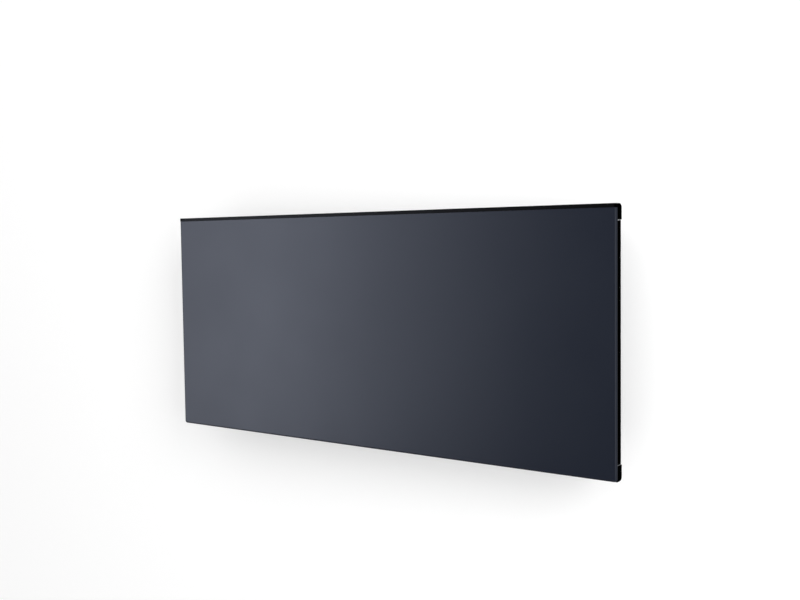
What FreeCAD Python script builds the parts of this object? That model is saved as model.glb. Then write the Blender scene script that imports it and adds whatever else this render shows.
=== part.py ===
import FreeCAD, Part
import math
import os
import Sketcher

# Slim wall-hung electric radiator: a flat steel front in black edge profiles, a convector casing behind it
# and a wall bracket. X runs to the right as seen from the room, Y into the wall and Z up.
# The origin lies on the wall, in the middle of the four wall screws.

doc = FreeCAD.newDocument("panel_radiator")
size = doc.addObject("Spreadsheet::Sheet", "size")

# Driving sizes, in millimetres and degrees
driving = {
    "panel_width": 750,
    "panel_height": 330,
    "wall_gap": 22,
    "casing_depth": 48,
    "cassette_depth": 14,
    "front_sheet": 1.2,
    "panel_lip": 2.6,
    "panel_edge_radius": 2.4,
    "panel_corner_radius": 4,
    "top_strip": 5.1,
    "rail_wall": 1.6,
    "rail_rear_radius": 5.5,
    "rail_inner_radius": 3.5,
    "rail_rear_height": 18,
    "rail_edge_radius": 0.6,
    "nose_setback": 0.5,
    "nose_gap": 0.3,
    "lip_gap": 0.15,
    "side_rail_step": 0.3,
    "side_rail_width": 12,
    "end_block_height": 19.2,
    "end_slit": 0.3,
    "end_cap_wall": 3,
    "cap_edge_radius": 0.8,
    "cap_proud": 1.5,
    "cap_plug_length": 12,
    "cap_plug_gap": 0.8,
    "chassis_sheet": 1,
    "chassis_side_gap": 0.5,
    "chassis_top_gap": 7,
    "standoff_radius": 5,
    "screw_radius": 1.8,
    "small_screw_scale": 0.6,
    "screw_clearance": 0.05,
    "screw_head_radius": 3.5,
    "screw_head_height": 2,
    "screw_overhang": 2,
    "panel_fixing_inset": 60,
    "panel_fixing_drop": 35,
    "rail_fixing_inset": 55,
    "casing_fixing_inset": 75,
    "casing_side_gap": 25,
    "casing_top_gap": 20,
    "casing_sheet": 1,
    "casing_flange": 10,
    "casing_corner_radius": 2.2,
    "casing_edge_radius": 2,
    "vent_width": 4.5,
    "vent_length": 30,
    "vent_pitch": 10,
    "vent_margin": 16,
    "bead_width": 9,
    "bead_height": 1.2,
    "bead_spacing": 75,
    "electronics_width": 135,
    "partition_sheet": 1,
    "partition_foot": 10,
    "element_drop": 75,
    "element_end_gap": 50,
    "wing_length": 72,
    "wing_sheet": 2.4,
    "wing_angle": 26,
    "hub_radius": 7.5,
    "rod_radius": 4,
    "rod_clearance": 0.05,
    "rod_overhang": 14,
    "terminal_radius": 1.75,
    "terminal_length": 9,
    "insulator_radius": 6.5,
    "insulator_length": 10,
    "bracket_sheet": 1.5,
    "element_bracket_height": 46,
    "element_bracket_foot": 16,
    "element_bracket_gap": 6,
    "cutout_radius": 7.5,
    "cutout_height": 8,
    "tab_length": 7,
    "tab_width": 6,
    "tab_sheet": 0.8,
    "fascia_width": 116,
    "fascia_depth": 42,
    "fascia_sheet": 2.5,
    "fascia_corner_radius": 4,
    "fascia_right_gap": 5,
    "fascia_margin": 6,
    "fascia_screw_inset": 3.2,
    "tub_height": 41,
    "tub_wall": 1.6,
    "tub_clearance": 0.5,
    "board_sheet": 1.6,
    "board_drop": 18,
    "board_gap": 1.4,
    "board_length": 74,
    "post_radius": 2.5,
    "relay_length": 19,
    "relay_width": 15,
    "relay_height": 15,
    "radio_width": 14,
    "radio_length": 20,
    "radio_can_height": 2.4,
    "window_length": 28,
    "window_width": 16,
    "window_sheet": 1.6,
    "window_ledge": 2,
    "window_gap": 0.2,
    "display_inset": 26,
    "key_inset": 50,
    "key_pitch": 11.5,
    "key_radius": 4.3,
    "key_clearance": 0.2,
    "key_flange_radius": 5.3,
    "key_flange": 1.4,
    "key_flange_gap": 0.08,
    "key_rise": 1.5,
    "key_travel": 1,
    "key_stem_radius": 2,
    "key_end_gap": 0.2,
    "tact_body": 6,
    "tact_height": 3.5,
    "plunger_radius": 1.7,
    "plunger_height": 1.3,
    "rocker_inset": 97,
    "rocker_length": 14.6,
    "rocker_width": 9.4,
    "rocker_angle": 9,
    "rocker_side_gap": 0.3,
    "rocker_end_gap": 0.7,
    "rocker_end_rise": 4.6,
    "rocker_mid_rise": 3,
    "rocker_shoulder": 2.5,
    "rocker_keel": 5,
    "rocker_wall": 1.5,
    "rocker_well": 8,
    "rocker_floor": 9,
    "rocker_pivot_drop": 1,
    "bezel_overlap": 1,
    "bezel_height": 1.8,
    "trunnion_radius": 1.2,
    "trunnion_length": 0.9,
    "trunnion_clearance": 0.05,
    "earth_washer": 1,
    "earth_nut_radius": 4,
    "earth_nut_height": 3.2,
    "gland_right_gap": 50,
    "gland_thread_radius": 6,
    "gland_bore_radius": 3.5,
    "gland_hex_radius": 9,
    "gland_hex_height": 5,
    "gland_dome_radius": 6.8,
    "gland_dome_height": 9,
    "gland_crown_height": 2.2,
    "gland_crown_radius": 5.3,
    "gland_nut_height": 4,
    "sensor_right_gap": 16,
    "sensor_radius": 3,
    "sensor_nose": 4,
    "sensor_holder": 12,
    "block_length": 36,
    "block_depth": 16,
    "block_height": 18,
    "block_drop": 76,
    "lead_radius": 1.6,
    "lead_bend": 8,
    "lead_floor_hole": 4,
    "lead_entry_pitch": 9,
    "grommet_radius": 7,
    "grommet_wall": 1.5,
    "hanger_spacing": 400,
    "hole_spacing": 110,
    "wall_hole_radius": 3,
    "arm_width": 26,
    "arm_foot_width": 40,
    "arm_depth": 18.5,
    "arm_top": 100,
    "arm_tail": 24,
    "hook_tail": 8,
    "hook_radius": 7.5,
    "slot_rise": 20,
    "pin_drop": 100,
    "pin_wall_distance": 11,
    "pin_radius": 4,
    "pin_clearance": 0.05,
    "pin_end": 1.5,
    "ear_gap": 1.5,
    "ear_rear": 5.5,
    "ear_tail": 12.5,
    "ear_rise": 14,
    "hanger_tail": 25,
    "lip_height": 118,
    "lip_reach": 10,
    "lip_upturn": 6,
    "crossbar_height": 24,
    "crossbar_spacing": 140,
    "crossbar_gap": 0.5,
    "rivet_radius": 2,
    "rivet_head_radius": 3.2,
    "rivet_head_height": 1.2,
    "rivet_spacing": 12,
    "latch_sheet": 1,
    "latch_width": 18,
    "latch_foot": 75,
    "latch_rivet_height": 83,
    "latch_play": 0.7,
    "latch_cover": 2.5,
    "latch_bite": 3.5,
    "latch_ramp": 5,
}
for row, (alias, amount) in enumerate(driving.items(), start=1):
    size.set(f"A{row}", alias)
    size.set(f"B{row}", str(amount))
    size.setAlias(f"B{row}", alias)
doc.recompute()

# Planes and places that several pieces share, written as expressions on the sheet
front_y = "(-size.wall_gap - size.casing_depth - size.cassette_depth)"
panel_back_y = f"({front_y} + size.front_sheet)"
lip_y = f"({front_y} + size.panel_lip)"
rail_front_y = f"({lip_y} + size.lip_gap)"
rail_back_y = "(-size.wall_gap - size.casing_depth)"
side_back_y = f"({rail_back_y} - size.side_rail_step)"
chassis_back_y = f"({side_back_y} - size.rail_wall)"
chassis_front_y = f"({chassis_back_y} - size.chassis_sheet)"
casing_back_y = "(-size.wall_gap)"
casing_inner_y = f"({casing_back_y} - size.casing_sheet)"
casing_mid_y = f"(({chassis_back_y} + {casing_back_y}) / 2)"
hanger_y = f"({casing_back_y} + size.bracket_sheet)"
pin_y = "(-size.pin_wall_distance)"
half_width = "(size.panel_width / 2)"
top = "(size.panel_height / 2)"
panel_top = f"({top} - size.top_strip)"
casing_half_width = f"({half_width} - size.casing_side_gap)"
casing_top = f"({top} - size.casing_top_gap)"
casing_floor = f"(-{casing_top} + size.casing_sheet)"
partition_x = f"({casing_half_width} - size.electronics_width)"
hole_radius = "(size.screw_radius + size.screw_clearance)"

# Helpers: sizes and places
nodes = []


def number(text):
    return float(size.evalExpression(text))


def vector(x, y, z):
    return FreeCAD.Vector(number(x), number(y), number(z))


def bind(thing, **expressions):
    for path, text in expressions.items():
        thing.setExpression(path, text)


def place(thing, x="0", y="0", z="0"):
    thing.setExpression("Placement.Base.x", x)
    thing.setExpression("Placement.Base.y", y)
    thing.setExpression("Placement.Base.z", z)


def node(thing, label):
    thing.Label = label
    nodes.append(thing)
    return thing


# Helpers: primitives and booleans
def block(name, x, y, z):
    box = doc.addObject("Part::Box", name)
    bind(
        box,
        Length=f"({x[1]}) - ({x[0]})",
        Width=f"({y[1]}) - ({y[0]})",
        Height=f"({z[1]}) - ({z[0]})",
    )
    place(box, x[0], y[0], z[0])
    return box


turns = {
    "X": FreeCAD.Rotation(FreeCAD.Vector(0, 1, 0), 90),
    "Y": FreeCAD.Rotation(FreeCAD.Vector(1, 0, 0), -90),
    "Z": FreeCAD.Rotation(),
}


def rod(name, axis, radius, span, at):
    cylinder = doc.addObject("Part::Cylinder", name)
    cylinder.Placement = FreeCAD.Placement(FreeCAD.Vector(), turns[axis])
    bind(cylinder, Radius=radius, Height=f"({span[1]}) - ({span[0]})")
    spots = list(at)
    spots.insert("XYZ".index(axis), span[0])
    place(cylinder, *spots)
    return cylinder


def hexagon(name, axis, radius, span, at):
    prism = doc.addObject("Part::Prism", name)
    prism.Polygon = 6
    prism.Placement = FreeCAD.Placement(FreeCAD.Vector(), turns[axis])
    bind(prism, Circumradius=radius, Height=f"({span[1]}) - ({span[0]})")
    spots = list(at)
    spots.insert("XYZ".index(axis), span[0])
    place(prism, *spots)
    return prism


def together(name, pieces):
    bundle = doc.addObject("Part::Compound", name)
    bundle.Links = pieces
    return bundle


def fuse(name, pieces):
    joined = doc.addObject("Part::MultiFuse", name)
    joined.Shapes = pieces
    joined.Refine = True
    return joined


def cut(name, base, tools):
    result = doc.addObject("Part::Cut", name)
    result.Base = base
    result.Tool = tools[0] if len(tools) == 1 else together(f"{name}_tools", tools)
    return result


def drill(name, places, radius, span):
    return [rod(f"{name}_hole", "Y", radius, span, spot) for spot in places]


# Helpers: bodies with sketches
def new_body(name):
    return doc.addObject("PartDesign::Body", name)


def sketch_on(body, name, plane, offset):
    sketch = body.newObject("Sketcher::SketchObject", name)
    support = [feature for feature in body.Origin.OriginFeatures if feature.Role == plane]
    sketch.AttachmentSupport = [(support[0], "")]
    sketch.MapMode = "FlatFace"
    sketch.setExpression("AttachmentOffset.Base.z", offset)
    return sketch


def pin_down(sketch, element, point, x, y):
    across = Sketcher.Constraint("DistanceX", -1, 1, element, point, number(x))
    sketch.setExpression(f"Constraints[{sketch.addConstraint(across)}]", x)
    up = Sketcher.Constraint("DistanceY", -1, 1, element, point, number(y))
    sketch.setExpression(f"Constraints[{sketch.addConstraint(up)}]", y)


def outline(body, name, plane, offset, points):
    sketch = sketch_on(body, name, plane, offset)
    corners = [FreeCAD.Vector(number(x), number(y), 0) for x, y in points]
    last = len(points) - 1
    for index, corner in enumerate(corners):
        following = corners[0 if index == last else index + 1]
        sketch.addGeometry(Part.LineSegment(corner, following), False)
    for index in range(len(points)):
        following = 0 if index == last else index + 1
        sketch.addConstraint(Sketcher.Constraint("Coincident", index, 2, following, 1))
    for index, (x, y) in enumerate(points):
        pin_down(sketch, index, 1, x, y)
    return sketch


def rectangle(body, name, plane, offset, x, y):
    points = [(x[0], y[0]), (x[1], y[0]), (x[1], y[1]), (x[0], y[1])]
    return outline(body, name, plane, offset, points)


def circles(body, name, plane, offset, radius, places):
    sketch = sketch_on(body, name, plane, offset)
    for index, (x, y) in enumerate(places):
        centre = FreeCAD.Vector(number(x), number(y), 0)
        sketch.addGeometry(Part.Circle(centre, FreeCAD.Vector(0, 0, 1), number(radius)), False)
        pin_down(sketch, index, 3, x, y)
        ring = Sketcher.Constraint("Radius", index, number(radius))
        sketch.setExpression(f"Constraints[{sketch.addConstraint(ring)}]", radius)
    return sketch


def pad(body, sketch, length, midplane=False, backwards=False):
    feature = body.newObject("PartDesign::Pad", f"{sketch.Name}_pad")
    feature.Profile = sketch
    feature.Midplane = midplane
    feature.Reversed = backwards
    feature.setExpression("Length", length)
    body.Tip = feature
    return feature


def pocket(body, sketch, length=None, backwards=False):
    feature = body.newObject("PartDesign::Pocket", f"{sketch.Name}_pocket")
    feature.Profile = sketch
    feature.Reversed = backwards
    if length is None:
        feature.Type = "ThroughAll"
        feature.Midplane = True
    else:
        feature.setExpression("Length", length)
    body.Tip = feature
    return feature


def round_edges(body, name, radius, chosen):
    doc.recompute()
    base = body.Tip
    edges = [
        f"Edge{index}" for index, edge in enumerate(base.Shape.Edges, start=1) if chosen(edge.BoundBox)
    ]
    feature = body.newObject("PartDesign::Fillet", name)
    feature.Base = (base, edges)
    feature.setExpression("Radius", radius)
    body.Tip = feature
    return feature


def near(value, target):
    return abs(value - target) < 0.01


def along_x(box, y, z):
    return near(box.YMin, y) and near(box.YMax, y) and near(box.ZMin, z) and near(box.ZMax, z)


def along_y(box, x, z):
    return near(box.XMin, x) and near(box.XMax, x) and near(box.ZMin, z) and near(box.ZMax, z)


def along_z(box, x, y):
    return near(box.XMin, x) and near(box.XMax, x) and near(box.YMin, y) and near(box.YMax, y)


# Helpers: fasteners and leads
def shaped(name, shapes):
    feature = doc.addObject("Part::Feature", name)
    feature.Shape = Part.makeCompound(shapes) if len(shapes) > 1 else shapes[0]
    return feature


def aim(shape, point, direction):
    turn = FreeCAD.Rotation(FreeCAD.Vector(0, 0, 1), direction)
    shape.Placement = FreeCAD.Placement(point, turn)
    return shape


def turned(profile):
    corners = [FreeCAD.Vector(r, 0, z) for r, z in profile]
    face = Part.Face(Part.makePolygon(corners + corners[:1]))
    return face.revolve(FreeCAD.Vector(), FreeCAD.Vector(0, 0, 1), 360)


def screws(points, direction, length, scale=1):
    radius = number("size.screw_radius") * scale
    head = number("size.screw_head_radius") * scale
    rise = number("size.screw_head_height") * scale
    stem = turned(
        [
            (0, -rise),
            (head * 0.6, -rise),
            (head * 0.9, -rise * 0.6),
            (head, 0),
            (radius, 0),
            (radius, length - radius * 0.5),
            (radius * 0.6, length),
            (0, length),
        ]
    )
    wing = head * 0.55
    web = head * 0.16
    sink = rise * 0.6
    cross = Part.makeBox(2 * wing, 2 * web, sink, FreeCAD.Vector(-wing, -web, -rise))
    cross = cross.fuse(Part.makeBox(2 * web, 2 * wing, sink, FreeCAD.Vector(-web, -wing, -rise)))
    form = stem.cut(cross)
    return [aim(form.copy(), point, direction) for point in points]


def rivets(points, direction, grip):
    radius = number("size.rivet_radius")
    head = number("size.rivet_head_radius")
    rise = number("size.rivet_head_height")
    form = turned(
        [
            (0, -rise),
            (head * 0.55, -rise * 0.9),
            (head * 0.9, -rise * 0.45),
            (head, 0),
            (radius, 0),
            (radius, grip),
            (0, grip),
        ]
    )
    return [aim(form.copy(), point, direction) for point in points]


def lead(name, points):
    radius = number("size.lead_radius")
    bend = number("size.lead_bend")
    corners = [vector(*point) for point in points]
    edges = []
    start = corners[0]
    for before, corner, after in zip(corners, corners[1:], corners[2:]):
        incoming = (before - corner).normalize()
        outgoing = (after - corner).normalize()
        half = incoming.getAngle(outgoing) / 2
        inward = (incoming + outgoing).normalize()
        first = corner + incoming * (bend / math.tan(half))
        last = corner + outgoing * (bend / math.tan(half))
        middle = corner + inward * (bend / math.sin(half) - bend)
        edges.append(Part.LineSegment(start, first).toShape())
        edges.append(Part.Arc(first, middle, last).toShape())
        start = last
    edges.append(Part.LineSegment(start, corners[-1]).toShape())
    path = Part.Wire(edges)
    ring = Part.Wire(Part.makeCircle(radius, corners[0], corners[1] - corners[0]))
    solid = path.makePipeShell([ring], True, False)
    expected = math.pi * radius**2 * path.Length
    print(name, "bend", bend, "volume over section times length", round(solid.Volume / expected, 4))
    return node(shaped(name, [solid]), name)


into_room = FreeCAD.Vector(0, -1, 0)
into_wall = FreeCAD.Vector(0, 1, 0)
downward = FreeCAD.Vector(0, 0, -1)

# Front panel: a steel sheet folded back at the ends and below, and tucked under the top rail
def panel_form(name, inset, back, depth, face):
    form = new_body(name)
    edge = f"(-{top} + {inset})"
    rim = f"({panel_top} - {inset})"
    blank = rectangle(
        form,
        f"{name}_outline",
        "XZ_Plane",
        f"-({back})",
        (f"-{half_width} + {inset}", f"{half_width} - {inset}"),
        (edge, rim),
    )
    pad(form, blank, depth)
    round_edges(
        form,
        f"{name}_corners",
        f"size.panel_corner_radius - {inset}",
        lambda box: box.YLength > 1 and near(box.ZMax, number(edge)),
    )
    round_edges(
        form,
        f"{name}_edges",
        f"size.panel_edge_radius - {inset}",
        lambda box: near(box.YMax, number(face)) and box.ZMin < number(rim) - 0.1,
    )
    return form


panel_skin = panel_form("panel_skin", "0", lip_y, "size.panel_lip", front_y)
hollow_back = f"({lip_y} + size.front_sheet)"
panel_hollow = panel_form(
    "panel_hollow", "size.front_sheet", hollow_back, f"{hollow_back} - {panel_back_y}", panel_back_y
)
node(cut("front_panel", panel_skin, [panel_hollow]), "front_panel")

# Edge rails: extruded profiles that close the rim behind the front panel
nose_y = f"({front_y} + size.nose_setback)"
nose_bottom = f"({panel_top} + size.nose_gap)"
rail_length = "size.panel_width - 2 * size.end_cap_wall"

top_rail = new_body("top_rail")
top_profile = outline(
    top_rail,
    "top_profile",
    "YZ_Plane",
    "0",
    [
        (nose_y, top),
        (rail_back_y, top),
        (rail_back_y, f"{top} - size.rail_rear_height"),
        (chassis_back_y, f"{top} - size.rail_rear_height"),
        (chassis_back_y, f"{top} - size.rail_wall"),
        (f"{nose_y} + size.rail_wall", f"{top} - size.rail_wall"),
        (f"{nose_y} + size.rail_wall", nose_bottom),
        (nose_y, nose_bottom),
    ],
)
pad(top_rail, top_profile, rail_length, midplane=True)
round_edges(
    top_rail,
    "top_rear_round",
    "size.rail_rear_radius",
    lambda box: along_x(box, number(rail_back_y), number(top)),
)
round_edges(
    top_rail,
    "top_inner_round",
    "size.rail_inner_radius",
    lambda box: along_x(box, number(chassis_back_y), number(f"{top} - size.rail_wall")),
)
round_edges(
    top_rail,
    "top_nose_round",
    "size.rail_edge_radius",
    lambda box: along_x(box, number(nose_y), number(top)),
)
node(top_rail, "top_rail")

bottom_rail = new_body("bottom_rail")
bottom_profile = outline(
    bottom_rail,
    "bottom_profile",
    "YZ_Plane",
    "0",
    [
        (rail_front_y, f"-{top}"),
        (rail_back_y, f"-{top}"),
        (rail_back_y, f"-{top} + size.rail_rear_height"),
        (chassis_back_y, f"-{top} + size.rail_rear_height"),
        (chassis_back_y, f"-{top} + size.rail_wall"),
        (rail_front_y, f"-{top} + size.rail_wall"),
    ],
)
pad(bottom_rail, bottom_profile, rail_length, midplane=True)
round_edges(
    bottom_rail,
    "bottom_rear_round",
    "size.rail_rear_radius",
    lambda box: along_x(box, number(rail_back_y), -number(top)),
)
round_edges(
    bottom_rail,
    "bottom_inner_round",
    "size.rail_inner_radius",
    lambda box: along_x(box, number(chassis_back_y), number(f"-{top} + size.rail_wall")),
)
node(bottom_rail, "bottom_rail")

for side, hand in (("left", "-1"), ("right", "1")):
    rail = new_body(f"side_rail_{side}")
    inner_x = f"{hand} * ({half_width} - size.side_rail_width)"
    wall_x = f"{hand} * ({half_width} - size.rail_wall)"
    outer_x = f"{hand} * {half_width}"
    side_profile = outline(
        rail,
        f"side_profile_{side}",
        "XY_Plane",
        "0",
        [
            (outer_x, rail_front_y),
            (outer_x, side_back_y),
            (inner_x, side_back_y),
            (inner_x, chassis_back_y),
            (wall_x, chassis_back_y),
            (wall_x, rail_front_y),
        ],
    )
    pad(rail, side_profile, "size.panel_height - 2 * (size.end_block_height + size.end_slit)", midplane=True)
    round_edges(
        rail,
        f"side_round_{side}",
        "size.rail_wall",
        lambda box: along_z(box, number(outer_x), number(side_back_y)),
    )
    node(rail, f"side_rail_{side}")

# End caps: close the open ends of the top and bottom rails and stand a little proud behind them
cap_back_y = f"({rail_back_y} + size.cap_proud)"
plug_front_y = f"{rail_front_y} + size.cap_plug_gap"
plug_back_y = f"{chassis_front_y} - size.cap_plug_gap"
for level, rise in (("top", "1"), ("bottom", "-1")):
    for side, hand in (("left", "-1"), ("right", "1")):
        label = f"{level}_end_cap_{side}"
        cap = new_body(label)
        rim = f"{rise} * {top}"
        low = f"{rise} * ({top} - size.end_block_height)"
        profile = [(cap_back_y, rim), (cap_back_y, low), (rail_front_y, low)]
        if level == "top":
            profile += [(rail_front_y, nose_bottom), (nose_y, nose_bottom), (nose_y, rim)]
        else:
            profile += [(rail_front_y, rim)]
        inside_x = f"{hand} * ({half_width} - size.end_cap_wall)"
        face = outline(cap, f"{label}_face", "YZ_Plane", inside_x, profile)
        pad(cap, face, "size.end_cap_wall", backwards=side == "left")
        round_edges(
            cap,
            f"{label}_rear_round",
            "size.rail_rear_radius",
            lambda box: along_x(box, number(cap_back_y), number(rim)),
        )
        outside_x = f"{hand} * {half_width}"
        round_edges(
            cap,
            f"{label}_edge_round",
            "size.cap_edge_radius",
            lambda box: along_y(box, number(outside_x), number(rim)),
        )
        plug = rectangle(
            cap,
            f"{label}_plug",
            "YZ_Plane",
            inside_x,
            (plug_front_y, plug_back_y),
            (
                f"{rise} * ({top} - size.rail_rear_height + size.rail_wall)",
                f"{rise} * ({top} - 3 * size.rail_wall)",
            ),
        )
        pad(cap, plug, "size.cap_plug_length", backwards=side == "right")
        node(cap, label)

# Where the fasteners go, as (x, z) places
panel_columns = "(size.panel_width - 2 * size.panel_fixing_inset)"
panel_line = f"({top} - size.panel_fixing_drop)"
panel_fixings = [
    (f"{column} * {panel_columns}", f"{row} * {panel_line}")
    for column in ("-1 / 2", "-1 / 6", "1 / 6", "1 / 2")
    for row in ("-1", "1")
]
rail_line = f"({top} - (size.rail_rear_radius + size.rail_rear_height) / 2)"
rail_columns = "(size.panel_width - 2 * size.rail_fixing_inset)"
rail_fixings = [
    (f"{column} * {rail_columns}", f"{row} * {rail_line}")
    for column in ("-1 / 2", "-1 / 6", "1 / 6", "1 / 2")
    for row in ("-1", "1")
]
side_fixings = [
    (
        f"{column} * ({half_width} - (size.rail_wall + size.side_rail_width) / 2)",
        f"{row} * size.panel_height / 4",
    )
    for column in ("-1", "1")
    for row in ("-1", "1")
]
flange_line = "(size.casing_sheet + size.casing_flange) / 2"
casing_columns = "(size.panel_width - 2 * size.casing_fixing_inset)"
casing_fixings = [
    (f"{column} * {casing_columns}", f"{row} * ({casing_top} - {flange_line})")
    for column in ("-1 / 2", "-1 / 6", "1 / 6", "1 / 2")
    for row in ("-1", "1")
]
casing_fixings += [
    (f"{column} * ({casing_half_width} - {flange_line})", f"{row} * size.panel_height / 5")
    for column in ("-1", "1")
    for row in ("-1", "1")
]
foot_x = f"({partition_x} + (size.partition_sheet + size.partition_foot) / 2)"
partition_fixings = [(foot_x, f"{row} * size.panel_height / 4") for row in ("-1", "1")]

# Heating element places
element_left = f"(-{casing_half_width} + size.casing_sheet + size.element_end_gap)"
element_right = f"({partition_x} - size.element_end_gap)"
element_z = "(-size.element_drop)"
left_plate = f"({element_left} - size.element_bracket_gap)"
right_plate = f"({element_right} + size.element_bracket_gap)"
bracket_fixings = [
    (
        f"{plate} {toward} size.element_bracket_foot / 2",
        f"{element_z} + {row} * size.element_bracket_height / 3",
    )
    for plate, toward in ((left_plate, "-"), (right_plate, "+"))
    for row in ("-1", "1")
]

# Chassis plate: carries the front, the rails and the casing, and shields the front from the hot chamber
chassis_span = (f"{chassis_front_y} - 1", f"{chassis_back_y} + 1")
chassis_half_width = f"({half_width} - size.end_cap_wall - size.chassis_side_gap)"
chassis_blank = block(
    "chassis_blank",
    (f"-{chassis_half_width}", chassis_half_width),
    (chassis_front_y, chassis_back_y),
    (f"-{top} + size.chassis_top_gap", f"{top} - size.chassis_top_gap"),
)
earth_x = f"({partition_x} + size.electronics_width / 3)"
earth_z = "(-size.panel_height / 12)"
chassis_places = (
    panel_fixings + rail_fixings + side_fixings + casing_fixings + partition_fixings + bracket_fixings
)
chassis_places += [(earth_x, earth_z)]
chassis = cut("chassis_plate", chassis_blank, drill("chassis", chassis_places, hole_radius, chassis_span))
node(chassis, "chassis_plate")

# Standoffs welded to the front panel, and the screws that hold them from behind the chassis plate
standoffs = []
for spot in panel_fixings:
    post = rod("standoff_post", "Y", "size.standoff_radius", (panel_back_y, chassis_front_y), spot)
    bore = rod("standoff_bore", "Y", hole_radius, (f"{panel_back_y} + 1", chassis_front_y), spot)
    standoffs.append(cut("standoff", post, [bore]))
node(together("panel_standoffs", standoffs), "panel_standoffs")

grip = number(f"{chassis_front_y} - {panel_back_y}") * 0.6 + number("size.chassis_sheet")
panel_screws = screws([vector(x, chassis_back_y, z) for x, z in panel_fixings], into_room, grip)
node(shaped("panel_screws", panel_screws), "panel_screws")

rail_grip = number("2 * size.rail_wall + size.side_rail_step + size.chassis_sheet")
rail_spots = [vector(x, rail_back_y, z) for x, z in rail_fixings]
rail_spots += [vector(x, side_back_y, z) for x, z in side_fixings]
rail_screws = screws(rail_spots, into_room, rail_grip)
node(shaped("rail_screws", rail_screws), "rail_screws")

thread_grip = number("size.chassis_sheet + size.casing_sheet + size.screw_overhang")
casing_spots = [vector(x, chassis_front_y, z) for x, z in casing_fixings + partition_fixings]
casing_screws = screws(casing_spots, into_wall, thread_grip)
node(shaped("casing_screws", casing_screws), "casing_screws")

element_spots = [vector(x, chassis_front_y, z) for x, z in bracket_fixings]
element_screws = screws(element_spots, into_wall, thread_grip)
node(shaped("element_screws", element_screws), "element_screws")

# Rail holes for those screws
for rail, spots in (
    (top_rail, rail_fixings[1::2]),
    (bottom_rail, rail_fixings[0::2]),
    (doc.getObject("side_rail_left"), side_fixings[:2]),
    (doc.getObject("side_rail_right"), side_fixings[2:]),
):
    rings = circles(rail, f"{rail.Name}_holes", "XZ_Plane", f"-{rail_back_y}", hole_radius, spots)
    pocket(rail, rings, "2 * size.rail_wall + 2 * size.side_rail_step", backwards=True)

# Rear casing: a folded tray with an inward flange, air slots above and below, and beads that stiffen its back
hanger_left_x = "(-size.hanger_spacing / 2)"
hanger_right_x = "(size.hanger_spacing / 2)"
hanger_rows = ("-size.panel_height / 6", "size.panel_height / 12", "size.panel_height / 4")
hanger_fixings = [(x, z) for x in (hanger_left_x, hanger_right_x) for z in hanger_rows]
fascia_right = f"({casing_half_width} - size.fascia_right_gap)"
fascia_left = f"({fascia_right} - size.fascia_width)"
fascia_front = f"({casing_mid_y} - size.fascia_depth / 2)"
fascia_back = f"({casing_mid_y} + size.fascia_depth / 2)"
tub_x = (f"{fascia_left} + size.fascia_margin", f"{fascia_right} - size.fascia_margin")
tub_y = (f"{fascia_front} + size.fascia_margin", f"{fascia_back} - size.fascia_margin")
gland_x = f"({casing_half_width} - size.gland_right_gap)"
sensor_x = f"({casing_half_width} - size.sensor_right_gap)"

casing = new_body("rear_casing")
tray = rectangle(
    casing,
    "casing_outline",
    "XZ_Plane",
    f"-{casing_back_y}",
    (f"-{casing_half_width}", casing_half_width),
    (f"-{casing_top}", casing_top),
)
pad(casing, tray, f"{casing_back_y} - {chassis_back_y}")
round_edges(
    casing,
    "casing_corners",
    "size.casing_corner_radius",
    lambda box: box.YLength > 1,
)
round_edges(
    casing,
    "casing_edges",
    "size.casing_edge_radius",
    lambda box: near(box.YMin, number(casing_back_y)),
)
chamber = rectangle(
    casing,
    "casing_chamber",
    "XZ_Plane",
    f"-{casing_inner_y}",
    (f"-{casing_half_width} + size.casing_sheet", f"{casing_half_width} - size.casing_sheet"),
    (f"-{casing_top} + size.casing_sheet", f"{casing_top} - size.casing_sheet"),
)
pocket(casing, chamber, f"{casing_inner_y} - {chassis_back_y} - size.casing_sheet", backwards=True)
mouth = rectangle(
    casing,
    "casing_mouth",
    "XZ_Plane",
    f"-{chassis_back_y}",
    (f"-{casing_half_width} + size.casing_flange", f"{casing_half_width} - size.casing_flange"),
    (f"-{casing_top} + size.casing_flange", f"{casing_top} - size.casing_flange"),
)
pocket(casing, mouth, "size.casing_sheet")
round_edges(
    casing,
    "chamber_corners",
    "size.casing_corner_radius - size.casing_sheet",
    lambda box: box.YLength > 1
    and box.XLength < 0.01
    and near(abs(box.XMin), number(f"{casing_half_width} - size.casing_sheet")),
)
round_edges(
    casing,
    "chamber_edges",
    "size.casing_edge_radius - size.casing_sheet",
    lambda box: near(box.YMin, number(casing_inner_y)) and near(box.YMax, number(casing_inner_y)),
)
node(casing, "rear_casing")

bead_reach = "(size.hanger_spacing / 2 - size.arm_foot_width)"
for index, row in enumerate(("-1", "0", "1")):
    bead_z = f"{row} * size.bead_spacing"
    bead = rectangle(
        casing,
        f"casing_bead_{index}",
        "XZ_Plane",
        f"-{casing_back_y}",
        (f"-{bead_reach}", bead_reach),
        (f"{bead_z} - size.bead_width / 2", f"{bead_z} + size.bead_width / 2"),
    )
    pad(casing, bead, "size.bead_height", backwards=True)
round_edges(
    casing,
    "bead_ends",
    "size.bead_width / 2.2",
    lambda box: near(box.YLength, number("size.bead_height")) and near(abs(box.XMin), number(bead_reach)),
)
round_edges(
    casing,
    "bead_crowns",
    "size.bead_height * 0.7",
    lambda box: near(box.YMin, number(f"{casing_back_y} + size.bead_height")),
)

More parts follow.
